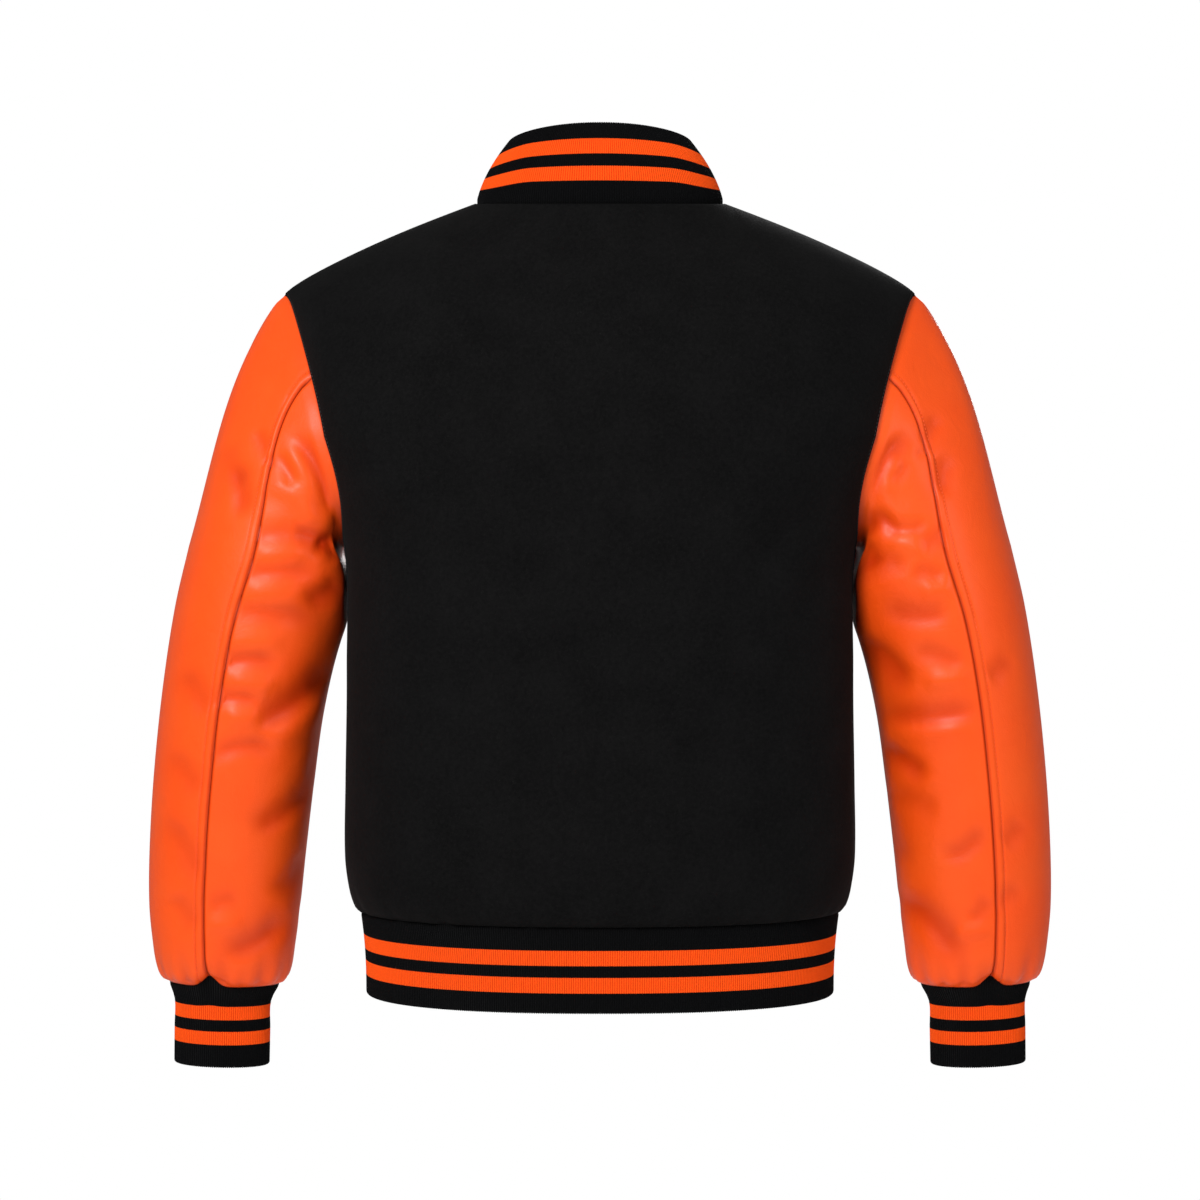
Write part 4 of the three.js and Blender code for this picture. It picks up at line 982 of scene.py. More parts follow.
# creases of the leather for each hand, rows of creaseColumns: a trough is below 0
sleeveCreases = {
    1: {
        "back": [
            (247, -199, 214, -262, 4, 8.5, -4.2, 0.2), (262, -212, 247, -240, 2, 5.6, -2.2, 0),
            (254, -204, 231, -249, 3, 7.5, 1.8, 0), (270, -236, 230, -264, 6, 8.5, 2.4, 0),
            (276, -213, 262, -223, 0, 3, -1.4, 0), (281, -194, 271, -212, 1, 6.25, -2.2, 0),
            (298, -220, 292, -263, 2, 8.75, -3, 0.2), (306, -204, 294, -238, -2, 10, -1.6, 0),
            (246, -273, 213, -282, -3, 8.5, -4.2, -0.2), (243, -262, 208, -266, -2, 7.5, 2, 0),
            (228, -284, 212, -297, 3, 9, -3.4, 0), (278, -281, 244, -278, 2, 8.75, -2.2, 0),
            (276, -296, 238, -294, -2, 8.75, 2.1, 0), (285, -311, 230, -309, 3, 8.75, -2.9, 0.2),
            (286, -325, 240, -327, -2, 8.75, 1.8, 0), (238, -334, 210, -316, -3, 11, -4.4, 0),
            (299, -340, 223, -351, 4, 10, -2.8, 0), (302, -364, 258, -366, -2, 8.75, 1.8, 0),
            (305, -383, 262, -381, 3, 8.75, -3.6, 0.2), (301, -397, 262, -400, -2, 7.5, 2.4, 0),
            (314, -413, 277, -412, 2, 7.5, -3, 0.2), (304, -425, 274, -425, -2, 7.5, 2.4, 0),
            (278, -433, 219, -386, -5, 11.6, -4.8, 0.25), (270, -448, 226, -412, -4, 10, 2.1, 0),
            (315, -457, 264, -451, 4, 7.5, -2.8, 0), (281, -519, 236, -486, -4, 10, -3.6, 0.2),
            (228, -424, 239, -484, 3, 6.25, -3.2, 0), (343, -390, 320, -424, 3, 11.2, -2.2, 0),
            (353, -457, 330, -491, 4, 11.2, -1.9, 0), (357, -512, 330, -563, 5, 11.2, -2.2, 0),
            (353, -574, 334, -603, 3, 10, -1.9, 0), (307, -622, 260, -596, -4, 10, -4, 0.2),
            (320, -582, 295, -577, 2, 7.5, -1.9, 0), (322, -597, 293, -599, 1, 6.25, 2.1, 0),
            (267, -575, 242, -545, -2, 10, -2.5, 0),
        ],
        "front": [
            (246, -200, 212, -266, -5, 13, -4.4, 0.2), (263, -214, 240, -252, 4, 8.75, 2.5, 0),
            (240, -281, 206, -291, 3, 11.6, -4.4, 0), (292, -317, 236, -330, 4, 11.2, -3, 0),
            (298, -350, 240, -373, -5, 11.2, -4, 0.2), (320, -391, 262, -409, 5, 11.2, -4.4, -0.2),
            (322, -424, 252, -431, -4, 10, 2.5, 0), (332, -446, 262, -463, 6, 10, -3.4, 0),
            (302, -501, 247, -477, 5, 11.2, -3.4, 0), (353, -503, 322, -549, 5, 11.2, -2.4, 0),
            (342, -573, 289, -599, -5, 10, -3.1, 0), (289, -612, 252, -586, 5, 10, -3.4, 0),
            (346, -351, 316, -373, 3, 11.2, -2.1, 0),
        ],
    },
    -1: {
        "back": [
            (-249, -196, -215, -248, -4, 8.5, -4.2, 0.2), (-248, -219, -234, -236, 2, 5.6, -2.2, 0),
            (-226, -249, -262, -266, -5, 8.5, 2.6, 0), (-240, -212, -223, -248, 2, 7.5, 1.8, 0),
            (-272, -208, -254, -213, 0, 3, -1.4, 0), (-276, -182, -264, -207, -2, 7.5, -2.5, 0),
            (-283, -214, -277, -246, -2, 8.75, -2.5, 0), (-212, -274, -238, -265, 3, 8.5, -4.2, 0),
            (-211, -284, -219, -306, 3, 9, -3.4, 0), (-229, -272, -263, -267, -3, 7.5, -3, 0),
            (-257, -287, -279, -276, -2, 7.5, -2.2, 0), (-234, -284, -262, -291, 2, 7.5, 1.9, 0),
            (-251, -308, -277, -314, 2, 7.5, -2.2, 0), (-260, -326, -284, -321, 1, 7.5, 2.2, 0),
            (-229, -340, -281, -343, -3, 10, -3.2, 0.2), (-208, -311, -247, -299, 3, 10, -2.5, 0),
            (-212, -365, -251, -403, 4, 11.6, -4.5, -0.2), (-253, -372, -295, -386, 3, 8.75, -2.5, 0),
            (-263, -397, -297, -390, -2, 7.5, 2.6, 0), (-230, -427, -304, -420, -4, 10, -3.9, 0.2),
            (-240, -441, -300, -436, 2, 10, 1.9, 0), (-228, -454, -265, -477, 3, 8.75, -4.2, 0),
            (-241, -492, -275, -507, 3, 10, -1.9, 0), (-281, -543, -313, -519, -3, 8.75, -2.9, 0),
            (-245, -577, -293, -626, 5, 11.2, -4.1, 0.2), (-291, -607, -318, -601, 1, 6.25, 2.1, 0),
            (-303, -594, -317, -575, -2, 7.5, -2.1, 0), (-317, -397, -337, -381, 2, 10, -2.1, 0),
            (-332, -533, -349, -515, 2, 10, -1.9, 0), (-325, -582, -346, -569, 2, 8.75, -1.8, 0),
            (-236, -509, -253, -549, -3, 8.75, -2.2, 0),
        ],
        "front": [
            (-247, -198, -210, -262, 5, 13, -4.5, 0), (-259, -226, -238, -258, -3, 8.75, 2.4, 0),
            (-236, -276, -206, -287, -3, 11.6, -4.6, 0.2), (-288, -306, -232, -321, -4, 10, -2.8, 0),
            (-301, -344, -244, -360, 4, 11.2, -3.2, 0), (-316, -384, -254, -396, -5, 11.2, -4.5, 0.2),
            (-326, -414, -262, -424, 4, 10, 2.6, 0), (-334, -452, -254, -448, -6, 10, -3.6, 0),
            (-296, -512, -246, -482, -5, 11.2, -3, 0), (-351, -492, -324, -536, -4, 11.2, -2.2, 0),
            (-346, -566, -296, -584, 4, 10, -2.8, 0), (-280, -606, -250, -578, -4, 10, -3.5, 0),
        ],
    },
}


def besideBody(p, hand):
    # holds the sleeve clear of the body beside it
    z = np.minimum(p[..., 2], body["underarm"])
    square = between(torsoCuts, "z", "square", z)
    depth = np.where(p[..., 1] > 0, between(torsoCuts, "z", "back", z), between(torsoCuts, "z", "front", z))
    share = np.minimum(1, np.abs(p[..., 1]) / depth) ** square
    limit = between(torsoCuts, "z", "halfWidth", z) * (1 - share) ** (1 / square) + sleeve["clearance"]
    x = np.abs(p[..., 0])
    held = p.copy()
    held[..., 0] = hand * (x + limit + np.hypot(x - limit, sleeve["softness"])) / 2
    return held


def sleeveCut(hand, around, z):
    size = {key: between(sleeveCuts, "z", key, z) for key in ("x", "y", "halfWidth", "halfDepth", "lean")}
    turn, lean = np.radians(around), np.radians(size["lean"])
    across = size["halfWidth"] * np.cos(turn)
    return stack(hand * (size["x"] + across * np.cos(lean)), size["y"] + size["halfDepth"] * np.sin(turn),
                 z + across * np.sin(lean))


def aroundAt(s):
    backSeam, frontSeam = sleeve["seamAt"]
    backAngle, frontAngle = sleeve["seamAngle"]
    return np.interp(s, [frontSeam - 24, 0, backSeam, 12, frontSeam],
                     [frontAngle - 360, 0, backAngle, 180, frontAngle])


def endShift(around, point):
    # the leather's end and the cuff's seam: lifted at the two sleeve seams, a little higher outside
    lift = sleeve["notch"] * np.exp(-(((around - sleeve["seamAngle"][0]) / 10) ** 2))
    lift = lift + 0.6 * sleeve["notch"] * np.exp(-(((np.mod(around,
        360) - sleeve["seamAngle"][1]) / 10) ** 2))
    return lift + (np.abs(point[..., 0]) - 315.5) * 0.032


def aroundRing(values, s):
    # values at the 24 places of the armhole, followed smoothly between them
    place = np.floor(s).astype(int)
    a, b, c, d = (values[(place + k) % 24] for k in (-1, 0, 1, 2))
    t = (s - place)[:, None]
    return b + 0.5 * t * (c - a + t * (2 * a - 5 * b + 4 * c - d + t * (3 * (b - c) + d - a)))


def sleeveLeaves(hand):
    # how far and which way the head of the sleeve leaves the armhole, evened out and fuller beside the tip
    ring = np.arange(24)
    start, normal, away = armholeFrame(hand, ring.astype(float), False)
    around = aroundAt(np.where(ring > sleeve["seamAt"][1], ring - 24, ring).astype(float))
    foot = besideBody(sleeveCut(hand, around, np.full(24, sleeveCuts[0]["z"])), hand)
    awayShare, outShare, downShare, strength = sleeve["leave"]
    leave = unit(away * awayShare + normal * outShare + np.array([0, 0, -downShare]))
    leave = leave * np.linalg.norm(foot - start, axis=1, keepdims=True) * strength
    for _ in range(2):
        leave = (np.roll(leave, 1, 0) + 2 * leave + np.roll(leave, -1, 0)) / 4
    fuller = np.interp(np.minimum(ring, 24 - ring), [0, 1, 2, 3, 4], [1, 1.12, 1.11, 1.05, 1])
    return leave * fuller[:, None], normal, away


def sleeveSurface(hand):
    backSeam, frontSeam = sleeve["seamAt"]
    near = [backSeam + k * d for d in (0.03, 0.06, 0.1, 0.16, 0.24) for k in (1, -1)]
    near += [frontSeam - d for d in (0.03, 0.06, 0.1, 0.16)] + [frontSeam - 24 + d for d in (0.03, 0.06, 0.1,
        0.16)]
    near += list(np.arange(backSeam - 0.72, backSeam - 0.38, 0.04)) + list(np.arange(frontSeam - 23.72,
        frontSeam - 23.38, 0.04))
    s = refine(list(range(frontSeam - 24, frontSeam + 1)), 1 / 6.5, near)
    around = aroundAt(s)
    start, _ = armholePoint(hand, s)
    foot = besideBody(sleeveCut(hand, around, np.full(len(s), sleeveCuts[0]["z"])), hand)
    span = np.linalg.norm(foot - start, axis=1, keepdims=True)
    leave, normal, away = (aroundRing(values, s) for values in sleeveLeaves(hand))
    normal, away = unit(normal), unit(away)
    lean = math.radians(sleeveCuts[0]["lean"])
    arrive = np.array([hand * math.sin(lean), 0, -math.cos(lean)]) * span
    heads = np.unique(np.round(np.concatenate([np.arange(0, 1, sleeve["headStep"]), [0.004, 0.009, 0.015]]),
                               5))
    head = np.stack([hermite(start, foot, leave, arrive, t) for t in heads])
    heights = refine([-306, -600, -622, -651], sleeve["tubeStep"],
                     [-630.5, -636.5, -642, -645.5, -648, -649.6, -650.4])[::-1]
    tube = np.stack([besideBody(sleeveCut(hand, around, np.full(len(s), z)), hand) for z in heights])
    grid = np.concatenate([head, tube])
    grid[0] += away * cloth["halfSeam"]
    return s, around, grid, normal


def sleeveNormals(grid, hand):
    ring = ringNormals(grid[:, :-1])
    ring = np.concatenate([ring, ring[:, :1]], axis=1)
    middle = grid.mean(axis=1, keepdims=True)
    return ring if np.einsum("ijk,ijk->", ring, grid - middle) > 0 else -ring


def sleeveRise(hand, s, around, grid, normal):
    fromTop, across = runLength(grid, 0), runLength(grid, 1)
    fromEnd = fromTop[-1:] - fromTop
    seamColumn = int(np.argmin(np.abs(s - sleeve["seamAt"][0])))
    toBack = across - across[:, seamColumn:seamColumn + 1]
    toFront = np.where(toBack < 0, across, across[:, -1:] - across)
    rise = dragRise(sleeveCreases[hand], grid, normal) * smooth(fromTop, 1.5, 16) * smooth(fromEnd, 4, 20)
    for place, depth, width, tall in cuffPuckers[hand]:
        turn = np.abs(np.mod(around - place + 180, 360) - 180)
        fall = np.exp(-((fromEnd / tall) ** 2)) * smooth(fromEnd, 0, 5)
        trough = np.exp(-((turn / width) ** 2))
        fold = 0.35 * np.exp(-(((turn - 2.2 * width) / width) ** 2))
        rise = rise + depth * fall * (fold - trough)
    creases = rise.copy()
    band = sleeve["bandWidth"]
    for off in (-toBack, np.where(toBack < 0, toFront, -1.0)):
        onBand = smooth(off, 0.6, 3.0) * (1 - smooth(off, band - 1.6, band + 0.4))
        rise = rise + np.where(off > 0, sleeve["bandRise"] * onBand, 0)
        rise = rise - np.where(off > 0, sleeve["stitchGroove"] * np.exp(-(((off - band) / 0.9) ** 2)), 0)
    nearest = np.minimum(np.minimum(np.abs(toBack), toFront), fromTop)
    nearest = np.minimum(nearest, fromEnd)
    for d in (np.abs(toBack), toFront):
        rise = rise - sleeve["tuckDepth"] * np.exp(-((d / sleeve["tuckWidth"]) ** 2))
    rise = rise - sleeve["headTuck"] * np.exp(-((fromTop / sleeve["headTuckWidth"]) ** 2))
    return rise, creases, nearest, fromTop, fromEnd, toBack, toFront


def makeSleeve(side, hand):
    s, around, grid, armNormal = sleeveSurface(hand)
    normal = sleeveNormals(grid, hand)
    rise, creases, nearest, fromTop, fromEnd, toBack, toFront = sleeveRise(hand, s, around, grid, normal)
    blend = smooth(fromTop, 0, 9)[..., None]
    wallNormal = unit(mix(armNormal[None], normal, blend))
    outer = grid + wallNormal * rise[..., None]
    held = besideBody(outer, hand)
    outer = mix(outer, held, smooth(fromTop, 30, 60)[..., None])
    plain = mix(grid, outer, smooth(nearest, 3, 8)[..., None])
    inner = plain - wallNormal * cloth["leatherWall"]
    inner[-1, :, 2] = grid[-1, :, 2]
    near, down = 1 - smooth(np.abs(outer[..., 0]), *sleeve["shadeAcross"]), -outer[..., 2]
    shade = near * smooth(down, *sleeve["shadeFrom"]) * (1 - smooth(down, *sleeve["shadeTo"]))
    drop = endShift(around, grid) * smooth(-grid[..., 2], 622, 651)
    outer[..., 2] += drop
    inner[..., 2] += drop
    backSeam = int(np.argmin(np.abs(s - sleeve["seamAt"][0])))
    pieces = {}
    for name, part in ((f"{side}_top_sleeve", slice(0, backSeam + 1)),
                       (f"{side}_under_sleeve", slice(backSeam, None))):
        out, inside = outer[:, part].copy(), inner[:, part].copy()
        for edge, beside in ((0, 1), (-1, -2)):
            shift = unit(grid[:, part][:, beside] - grid[:, part][:, edge]) * cloth["halfSeam"] * 1.15
            out[:, edge] += shift
            inside[:, edge] += shift
        values = {"seam": nearest[:, part] / 1000, "crease": creases[:, part], "shade": shade[:, part]}
        obj = clothMesh(name, out, inside, values)
        finishMesh(obj, materials["leather"])
        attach(obj, "root")
        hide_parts(name)
        pieces[name] = obj
    return {"outer": outer, "normal": wallNormal, "toBack": toBack, "toFront": toFront, "s": s,
            "pieces": pieces, "fromTop": fromTop, "fromEnd": fromEnd}


print("sleeves")
sleeves = {"left": makeSleeve("left", 1), "right": makeSleeve("right", -1)}
for side in ("left", "right"):
    top, under = (sleeves[side]["pieces"][f"{side}_{part}"] for part in ("top_sleeve", "under_sleeve"))

# Rib knit bands: an outer wall, a fold at the free edge and an inner wall

bands = {
    "collar": {"height": 65.0, "halfWidth": 75.0, "back": 70.0, "front": 54.0, "backZ": 54.5, "sideZ": 50.0,
               "frontZ": -38.0, "swell": 4.0, "endGap": 3.0, "gap": 0.5, "sag": 4.5},
    "hem": {"height": 66.8, "bottom": (-655.0, 193.3, 132.0, 120.0), "top": (-588.17, 198.0, 136.5, 123.5),
            "square": 2.3},
    "cuff": {"height": 67.7, "y": -20.0},
}
cuffCuts = table("z x halfWidth halfDepth", [
    (-719.0, 317.8, 39.2, 28.5), (-690.0, 317.4, 39.4, 28.8), (-667.0, 317.0, 39.6, 29.0),
    (-651.34, 315.5, 46.0, 38.0),
])


def evenPlaces(curve, count, samples=1500):
    t = np.linspace(0, 1, samples + 1)
    steps = np.linalg.norm(np.diff(curve(t), axis=0), axis=1)
    length = np.concatenate([[0], np.cumsum(steps)])
    return np.interp(np.linspace(0, length[-1], count + 1), length, t), length[-1]


# the sewn edge of a rib band is drawn in, in millimetres, and runs on a little below its seam
ribEdge = {"below": -0.025, "tuck": 0.9, "tuckWidth": 2.2, "seamTuck": 1.7}


def bandMesh(name, pointAt, outAt, height, material, closed, rows=8):
    _, total = evenPlaces(lambda t: pointAt(t, 0.5), 1)
    ribs = round(total / knit["pitch"])
    places, _ = evenPlaces(lambda t: pointAt(t, 0.5), ribs * 6)
    along = np.arange(ribs * 6 + 1) * knit["pitch"] / 6
    if closed:
        places, along = places[:-1], along[:-1]
    half = cloth["ribWall"] / 2
    last = 1 - half / height
    shares = np.unique(np.concatenate([np.linspace(0, last, rows), [ribEdge["below"], 0.02, 0.05]]))
    grid, lift, up = [], [], []
    for share in shares:
        out = outAt(places, share)
        tuck = ribEdge["tuck"] * math.exp(-((share * height / ribEdge["tuckWidth"]) ** 2))
        tuck = tuck if share >= 0 else ribEdge["seamTuck"]
        grid.append(pointAt(places, share) - out * tuck)
        lift.append(out)
        up.append(share * height)
    out, edge = outAt(places, last), pointAt(places, last)
    beyond = unit(edge - pointAt(places, last - 0.05))
    for turn in np.radians([30, 60, 90, 120, 150]):
        ray = out * math.cos(turn) + beyond * math.sin(turn)
        grid.append(edge - out * half + ray * half)
        lift.append(ray * (1 if turn < 1.6 else 0.7))
        up.append(height)
    for share in shares[::-1][::2] if len(shares) % 2 else shares[::-1]:
        out = outAt(places, share)
        grid.append(pointAt(places, share) - out * cloth["ribWall"])
        lift.append(-out * 0.5)
        up.append(share * height)
    grid, lift = np.stack(grid), np.stack(lift)
    count, columns = grid.shape[:2]
    number = np.arange(count * columns).reshape(count, columns)
    wrapped = np.concatenate([number, number[:1]])
    if closed:
        wrapped = np.concatenate([wrapped, wrapped[:, :1]], axis=1)
    faces = np.stack([wrapped[:-1, :-1], wrapped[:-1, 1:], wrapped[1:, 1:], wrapped[1:, :-1]],
                     axis=-1).reshape(-1, 4)
    level = np.repeat(np.array(up)[:, None], columns, axis=1)
    sag = bands[name].get("sag", 0) if name in bands else 0
    dropped = level + sag * smooth(np.abs(grid[..., 0]), 55, 100) * smooth(grid[..., 1], -45, 5)
    values = {
        "along": np.repeat(along[None], count, axis=0).ravel() / 1000,
        "up": dropped.ravel() / 1000,
        "seam": level.ravel() / 1000,
        "lift": lift.reshape(-1, 3),
    }
    obj = makeObject(name + "Plain", grid.reshape(-1, 3) / 1000, faces, values)
    if not closed:
        closeEnds(obj, number)
    return applyTree(obj, "ribs",
                     {"Rib Pitch": knit["pitch"] / 1000, "Rib Depth": knit["depth"] / 1000,
                      "Material": materials[material]}, name)


def closeEnds(obj, number):
    # caps the two ends of an open band
    made = bmesh.new()
    made.from_mesh(obj.data)
    made.verts.ensure_lookup_table()
    made.faces.new([made.verts[i] for i in number[:, 0]])
    made.faces.new([made.verts[i] for i in number[::-1, -1]])
    bmesh.ops.recalc_face_normals(made, faces=made.faces)
    made.to_mesh(obj.data)
    made.free()


def collarTable():
    # angles, normals and ways out at 23 places of the neck edge, from the left front round the back
    lap = math.degrees(math.asin(min(1, body["overlap"] / body["neckHalfWidth"]))) * body["neckAngle"] / 90
    front = np.array([0, lap, 9, 18, 27, 36, 45])
    stops = np.concatenate([front, [36, 27, 18, 9, 0, -9, -18, -27, -36], -front[::-1]])
    sides = ["front"] * 7 + ["back"] * 9 + ["front"] * 7
    normals = np.stack([bodyNormal(side, np.array([a]), body["yokeRise"])[0] for side,
                        a in zip(sides, stops)])
    aways = np.stack([neckAway(side, np.array([a]))[0] for side, a in zip(sides, stops)])
    return stops, normals, aways


collarStops, collarNormals, collarAways = collarTable()


def collarEdge(at):
    blend = lambda table: np.stack([np.interp(at, np.arange(23), table[:, k]) for k in range(3)], axis=1)
    angle, normal, away = np.interp(at, np.arange(23), collarStops), blend(collarNormals), blend(collarAways)
    atBack = (at > 6) & (at < 16)
    back, fore = bodyPoint("back", angle, body["yokeRise"]), bodyPoint("front", angle, body["yokeRise"])
    point = np.where(atBack[:, None], back, fore)
    inset = (cloth["woolWall"] + cloth["layerGap"]) * smooth(point[:, 0],
        -body["overlap"] - body["overlapFade"], -body["overlap"] - 2)
    point = point - normal * np.where(at > 16, inset, 0)[:, None] - away * cloth["halfSeam"]
    return point, normal, away, angle, atBack


def collarSurface():
    size = bands["collar"]
    point, *_ = collarEdge(np.array([0.0, 1.0]))
    startShare = size["endGap"] / abs(point[1, 0])

    def parts(t):
        at = mix(startShare, 22 - startShare, np.clip(t, 0, 1))
        point, normal, away, angle, atBack = collarEdge(at)
        base = point + away * size["gap"] - normal * knit["depth"]
        quarter = np.radians(90 * angle / body["neckAngle"])
        cosine = np.maximum(0, np.cos(quarter))
        far = np.where(atBack, size["backZ"], size["frontZ"])
        depth = np.where(atBack, size["back"], -size["front"])
        top = stack(size["halfWidth"] * np.sin(quarter), depth * cosine, mix(size["sideZ"], far, cosine**1.6))
        return base, top, point, normal

    def pointAt(t, share):
        base, top, *_ = parts(t)
        p = mix(base, top, share)
        level = unit(p * np.array([1, 1, 0]))
        return p + level * 4 * size["swell"] * share * (1 - share)

    def outAt(t, share):
        base, top, point, normal = parts(t)
        along = pointAt(np.clip(t + 0.004, 0, 1), share) - pointAt(np.clip(t - 0.004, 0, 1), share)
        out = unit(np.cross(along, top - point))
        return unit(out + normal * max(0, 1 - share / 0.12))

    return pointAt, outAt


def hemSurface():
    size = bands["hem"]

    def pointAt(t, share):
        flare = 1 - max(0, 1 - share) ** 2.4
        z = mix(size["top"][0], size["bottom"][0], share)
        halfWidth, back, front = (mix(a, b, flare) for a, b in zip(size["top"][1:], size["bottom"][1:]))
        lap = math.degrees(math.atan(body["overlap"] / front))
        angle = mix(-lap, 360 + lap, t)
        turn = np.radians(angle)
        radius = sectionRadius(angle, halfWidth, np.where(np.cos(turn) > 0, front, back), size["square"])
        inset = (cloth["ribWall"] + knit["depth"] + cloth["layerGap"]) * smooth(angle, 340, 351.5)
        return stack(radius * np.sin(turn), -radius * np.cos(turn) + inset, z)

    def outAt(t, share):
        step = pointAt(t + 0.0005, share) - pointAt(t - 0.0005, share)
        return unit(stack(step[..., 1], -step[..., 0], 0))

    return pointAt, outAt


def cuffSurface(hand):
    size = bands["cuff"]

    def pointAt(t, share):
        turn = 2 * np.pi * t
        z = mix(-651.34, -719.0, share)
        cut = {key: between(cuffCuts, "z", key, z) for key in ("x", "halfWidth", "halfDepth")}
        p = stack(hand * (cut["x"] + cut["halfWidth"] * np.cos(turn)),
                  size["y"] + cut["halfDepth"] * np.sin(turn), z)
        shift = endShift(np.degrees(turn), p)
        tilt = (np.abs(p[..., 0]) - 315.5) * 0.032
        p[..., 2] += mix(tilt, shift, smooth(z, -672, -651.34))
        return p

    def outAt(t, share):
        turn = 2 * np.pi * t
        cut = {key: between(cuffCuts, "z", key, mix(-651.34, -719.0, share)) for key in ("halfWidth",
            "halfDepth")}
        return unit(stack(hand * cut["halfDepth"] * np.cos(turn), cut["halfWidth"] * np.sin(turn), 0))

    return pointAt, outAt


def finishBand(obj, name):
    finishMesh(obj, obj.data.materials[0], 70)
    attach(obj, "root")
    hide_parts(name)
    return obj


print("rib knit")
finishBand(bandMesh("collar", *collarSurface(), bands["collar"]["height"], "collarKnit", False, 12), "collar")
finishBand(bandMesh("hem_band", *hemSurface(), bands["hem"]["height"], "hemKnit", False), "hem_band")
for side, hand in (("left", 1), ("right", -1)):
    finishBand(bandMesh(f"{side}_cuff", *cuffSurface(hand), bands["cuff"]["height"], "cuffKnit", True, 14),
               f"{side}_cuff")

# Stitches

stitches = {"pitch": 3.2, "length": 2.7, "thickness": 0.75}


def lineObject(name, lines):
    # several lines of points with the way out at each, as one mesh of edges
    points, lifts, edges, first = [], [], [], 0
    for line, lift in lines:
        points.append(line)
        lifts.append(lift)
        edges += [(first + i, first + i + 1) for i in range(len(line) - 1)]
        first += len(line)
    return makeObject(name, np.concatenate(points) / 1000, np.zeros((0, 4), int),
                      {"lift": np.concatenate(lifts)}, edges)


def alongColumns(grid, normals, distance, at, rows):
    # the line at one distance from an edge, found row by row between the columns
    line, lift = [], []
    for r in rows:
        order = np.argsort(distance[r])
        spots = distance[r][order]
        line.append([np.interp(at, spots, grid[r, order, k]) for k in range(3)])
        lift.append([np.interp(at, spots, normals[r, order, k]) for k in range(3)])
    return np.array(line), unit(np.array(lift))


def stitchObject(name, lines, material):
    values = {"Pitch": stitches["pitch"] / 1000, "Length": stitches["length"] / 1000,
              "Thickness": stitches["thickness"] / 1000, "Material": materials[material]}
    made = applyTree(lineObject(name + "Lines", lines), "stitches", values, name)
    for face in made.data.polygons:
        face.use_smooth = True
    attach(made, "root")
    return made


print("stitches")
sleeveLines = []
for side, made in sleeves.items():
    rows = [r for r in range(len(made["outer"])) if made["fromTop"][r, 0] > 1]
    seamColumn = int(np.argmin(np.abs(made["s"] - sleeve["seamAt"][0])))
    top = slice(0, seamColumn + 1)
    for distance in (-made["toBack"][:, top], made["toFront"][:, top]):
        keep = [r for r in rows if made["fromEnd"][r].mean() > 2.5]
        line, lift = alongColumns(made["outer"][:, top], made["normal"][:, top], distance,
                                  sleeve["bandWidth"], keep)
        sleeveLines.append((line + lift * 0.1, lift))
stitchObject("sleeveStitches", sleeveLines, "orangeThread")

bodyLines = []
for name, made in panels.items():
    high = [r for r, height in enumerate(made["heights"]) if armholeRows[0] <= height < 188]
    for key, column in (("start", made["columns"][0]), ("end", made["columns"][-1])):
        front = abs(column) != 10
        rows = range(2, len(made["heights"]) - 2) if front else high
        if front and name == "right_front":
            continue
        line, lift = alongColumns(made["outer"], made["normal"], made["distance"][key], panel["edgeStitch"],
                                  rows)
        bodyLines.append((line + lift * 0.1, lift))
stitchObject("bodyStitches", bodyLines, "blackThread")

# Snaps

snaps = {"radius": 7.5, "height": 3.0, "gap": 0.5, "heights": (-112, -200, -286, -372, -458, -544),
         "hemHeight": -622}


def snapCap():
    # half profile of a cap: flat back, rolled rim, groove, low dome
    r, h = snaps["radius"], snaps["height"]
    profile = [(0.0, 0.0), (r - 1.1, 0.0), (r - 0.4, 0.15), (r, 0.7), (r - 0.1, 1.2), (r - 0.5, 1.6),
               (r - 1.0, 1.65),
               (r - 1.35, 1.35), (r - 1.6, 1.4), (r - 2.2, 1.9), (r * 0.5, h - 0.35), (r * 0.25, h - 0.08),
               (0.0, h)]
    turns = 32
    points, faces, rim = [], [], []
    for k, (radius, height) in enumerate(profile[1:-1]):
        for i in range(turns):
            a = 2 * math.pi * i / turns
            points.append((radius * math.cos(a), radius * math.sin(a), height))
            rim.append(1.0 if 1 <= k <= 6 else 0.0)
            if k:
                low, high = (k - 1) * turns, k * turns
                faces.append((low + i, low + (i + 1) % turns, high + (i + 1) % turns, high + i))
    base, top = len(points), len(points) + 1
    points += [(0, 0, 0), (0, 0, snaps["height"])]
    rim += [0.0, 0.0]
    lastRing = (len(profile) - 3) * turns
    triangles = [((i + 1) % turns, i, base) for i in range(turns)]
    triangles += [(lastRing + i, lastRing + (i + 1) % turns, top) for i in range(turns)]
    mesh = bpy.data.meshes.new("snapCap")
    mesh.from_pydata([tuple(v / 1000 for v in p) for p in points], [], faces + triangles)
    mesh.attributes.new("rim", "FLOAT", "POINT").data.foreach_set("value", rim)
    mesh.update()
    cap = bpy.data.objects.new("snapCap", mesh)
    bpy.context.scene.collection.objects.link(cap)
    return cap


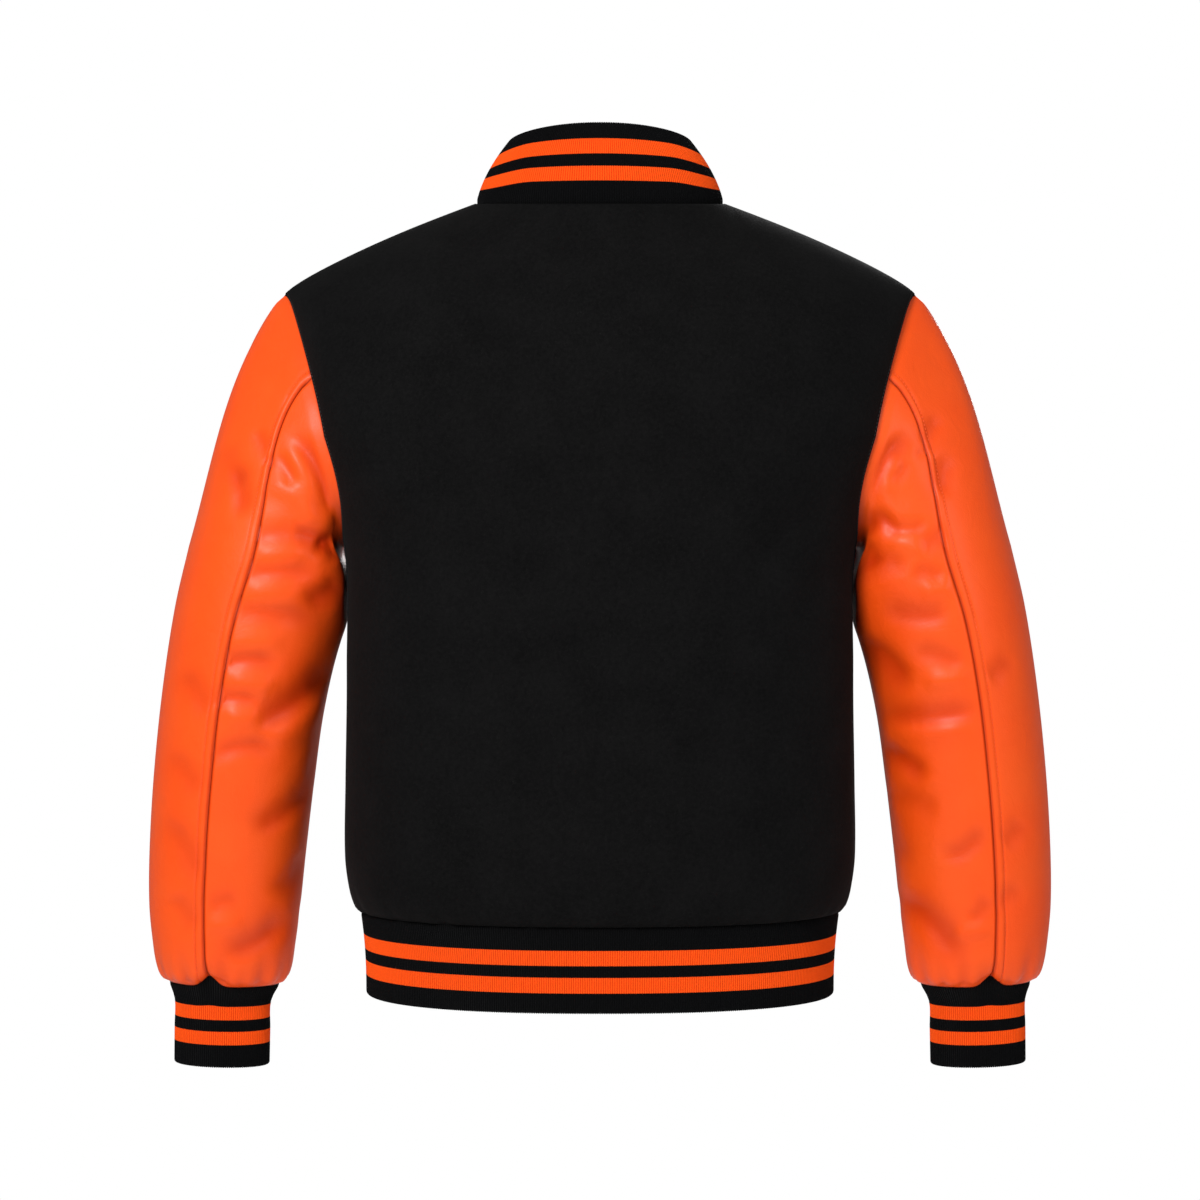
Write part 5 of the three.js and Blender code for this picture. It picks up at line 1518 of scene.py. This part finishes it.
def snapPlaces():
    points, lifts = [], []
    for z in snaps["heights"]:
        low, high = -388.0, body["yokeRise"]
        for _ in range(40):
            middle = (low + high) / 2
            below = bodyPoint("front", 0.0, middle)[2] < z
            low, high = (middle, high) if below else (low, middle)
        lift = bodyNormal("front", 0.0, low)
        points.append(bodyPoint("front", 0.0, low) + lift * snaps["gap"])
        lifts.append(lift)
    upper, lower = bands["hem"]["top"], bands["hem"]["bottom"]
    share = (upper[0] - snaps["hemHeight"]) / (upper[0] - lower[0])
    front = mix(upper[3], lower[3], share)
    points.append(np.array([0, -front - knit["depth"] - snaps["gap"], snaps["hemHeight"]]))
    lifts.append(np.array([0, -1.0, 0]))
    return np.array(points), np.array(lifts)


print("snaps")
cap = snapCap()
points, lifts = snapPlaces()
places = makeObject("snapPlaces", points / 1000, np.zeros((0, 4), int), {"lift": lifts})
snapsMade = applyTree(places, "caps", {"Cap": cap, "Material": materials["enamel"]}, "snaps")
bpy.data.objects.remove(cap)
finishMesh(snapsMade, materials["enamel"], 35)
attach(snapsMade, "root")
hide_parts(*[f"snap_{i}" for i in range(1, 7)], "hem_snap")

# Floor, light and camera

stage = {"floorZ": -1.5, "floorRadius": 2.9, "room": 0.26, "lens": 79.2, "camera": (0, 2.2, -0.331)}


def floorMaterial():
    material, tree, shader, place = newMaterial("paleFloor")
    speck = noise(tree, place, 3.0, 2.0)
    feed(tree, shader.inputs["Base Color"], mixColor(tree, speck, (0.86, 0.86, 0.86, 1), (0.9, 0.9, 0.9, 1)))
    feed(tree, shader.inputs["Roughness"], 0.9)
    return material


def makeFloor():
    turns, radius = 96, stage["floorRadius"]
    angles = [2 * math.pi * i / turns for i in range(turns)]
    ring = [(radius * math.cos(angle), radius * math.sin(angle), stage["floorZ"]) for angle in angles]
    mesh = bpy.data.meshes.new("floor")
    mesh.from_pydata(ring, [], [tuple(range(turns))])
    floor = bpy.data.objects.new("floor", mesh)
    mesh.materials.append(floorMaterial())
    bpy.context.scene.collection.objects.link(floor)
    floor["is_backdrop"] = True


def makeWorld():
    world = bpy.data.worlds.new("whiteStudio")
    world.use_nodes = True
    bpy.context.scene.world = world
    tree = world.node_tree
    ray = tree.nodes.new("ShaderNodeLightPath").outputs["Is Camera Ray"]
    seen = addMath(tree, "MULTIPLY_ADD", ray, 1 - stage["room"], stage["room"])
    tree.nodes["Background"].inputs[0].default_value = (1, 1, 1, 1)
    tree.links.new(seen, tree.nodes["Background"].inputs[1])


def addLight(name, place, aim, size, power):
    data = bpy.data.lights.new(name, "AREA")
    data.shape, data.size, data.size_y, data.energy = "RECTANGLE", size[0], size[1], power
    light = bpy.data.objects.new(name, data)
    bpy.context.scene.collection.objects.link(light)
    light.location = place
    light.rotation_mode = "QUATERNION"
    light.rotation_quaternion = (Vector(aim) - Vector(place)).to_track_quat("-Z", "Y")
    light.visible_camera = False


def makeCamera():
    data = bpy.data.cameras.new("camera")
    data.lens, data.sensor_width = stage["lens"], 36
    camera = bpy.data.objects.new("camera", data)
    bpy.context.scene.collection.objects.link(camera)
    camera.location = stage["camera"]
    camera.rotation_euler = (math.radians(90), 0, math.radians(180))
    bpy.context.scene.camera = camera


makeFloor()
makeWorld()
makeCamera()
addLight("keyLeft", (1.0, 2.3, 0.8), (0, 0, -0.4), (0.8, 1.0), 66)
addLight("fillRight", (-1.7, 1.7, 0.2), (0, 0, -0.45), (0.8, 1.2), 13)
addLight("frontSide", (-0.7, -2.4, 0.7), (0, 0, -0.4), (1.0, 1.2), 42)
bpy.context.scene.view_settings.view_transform = "Standard"

low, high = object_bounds()
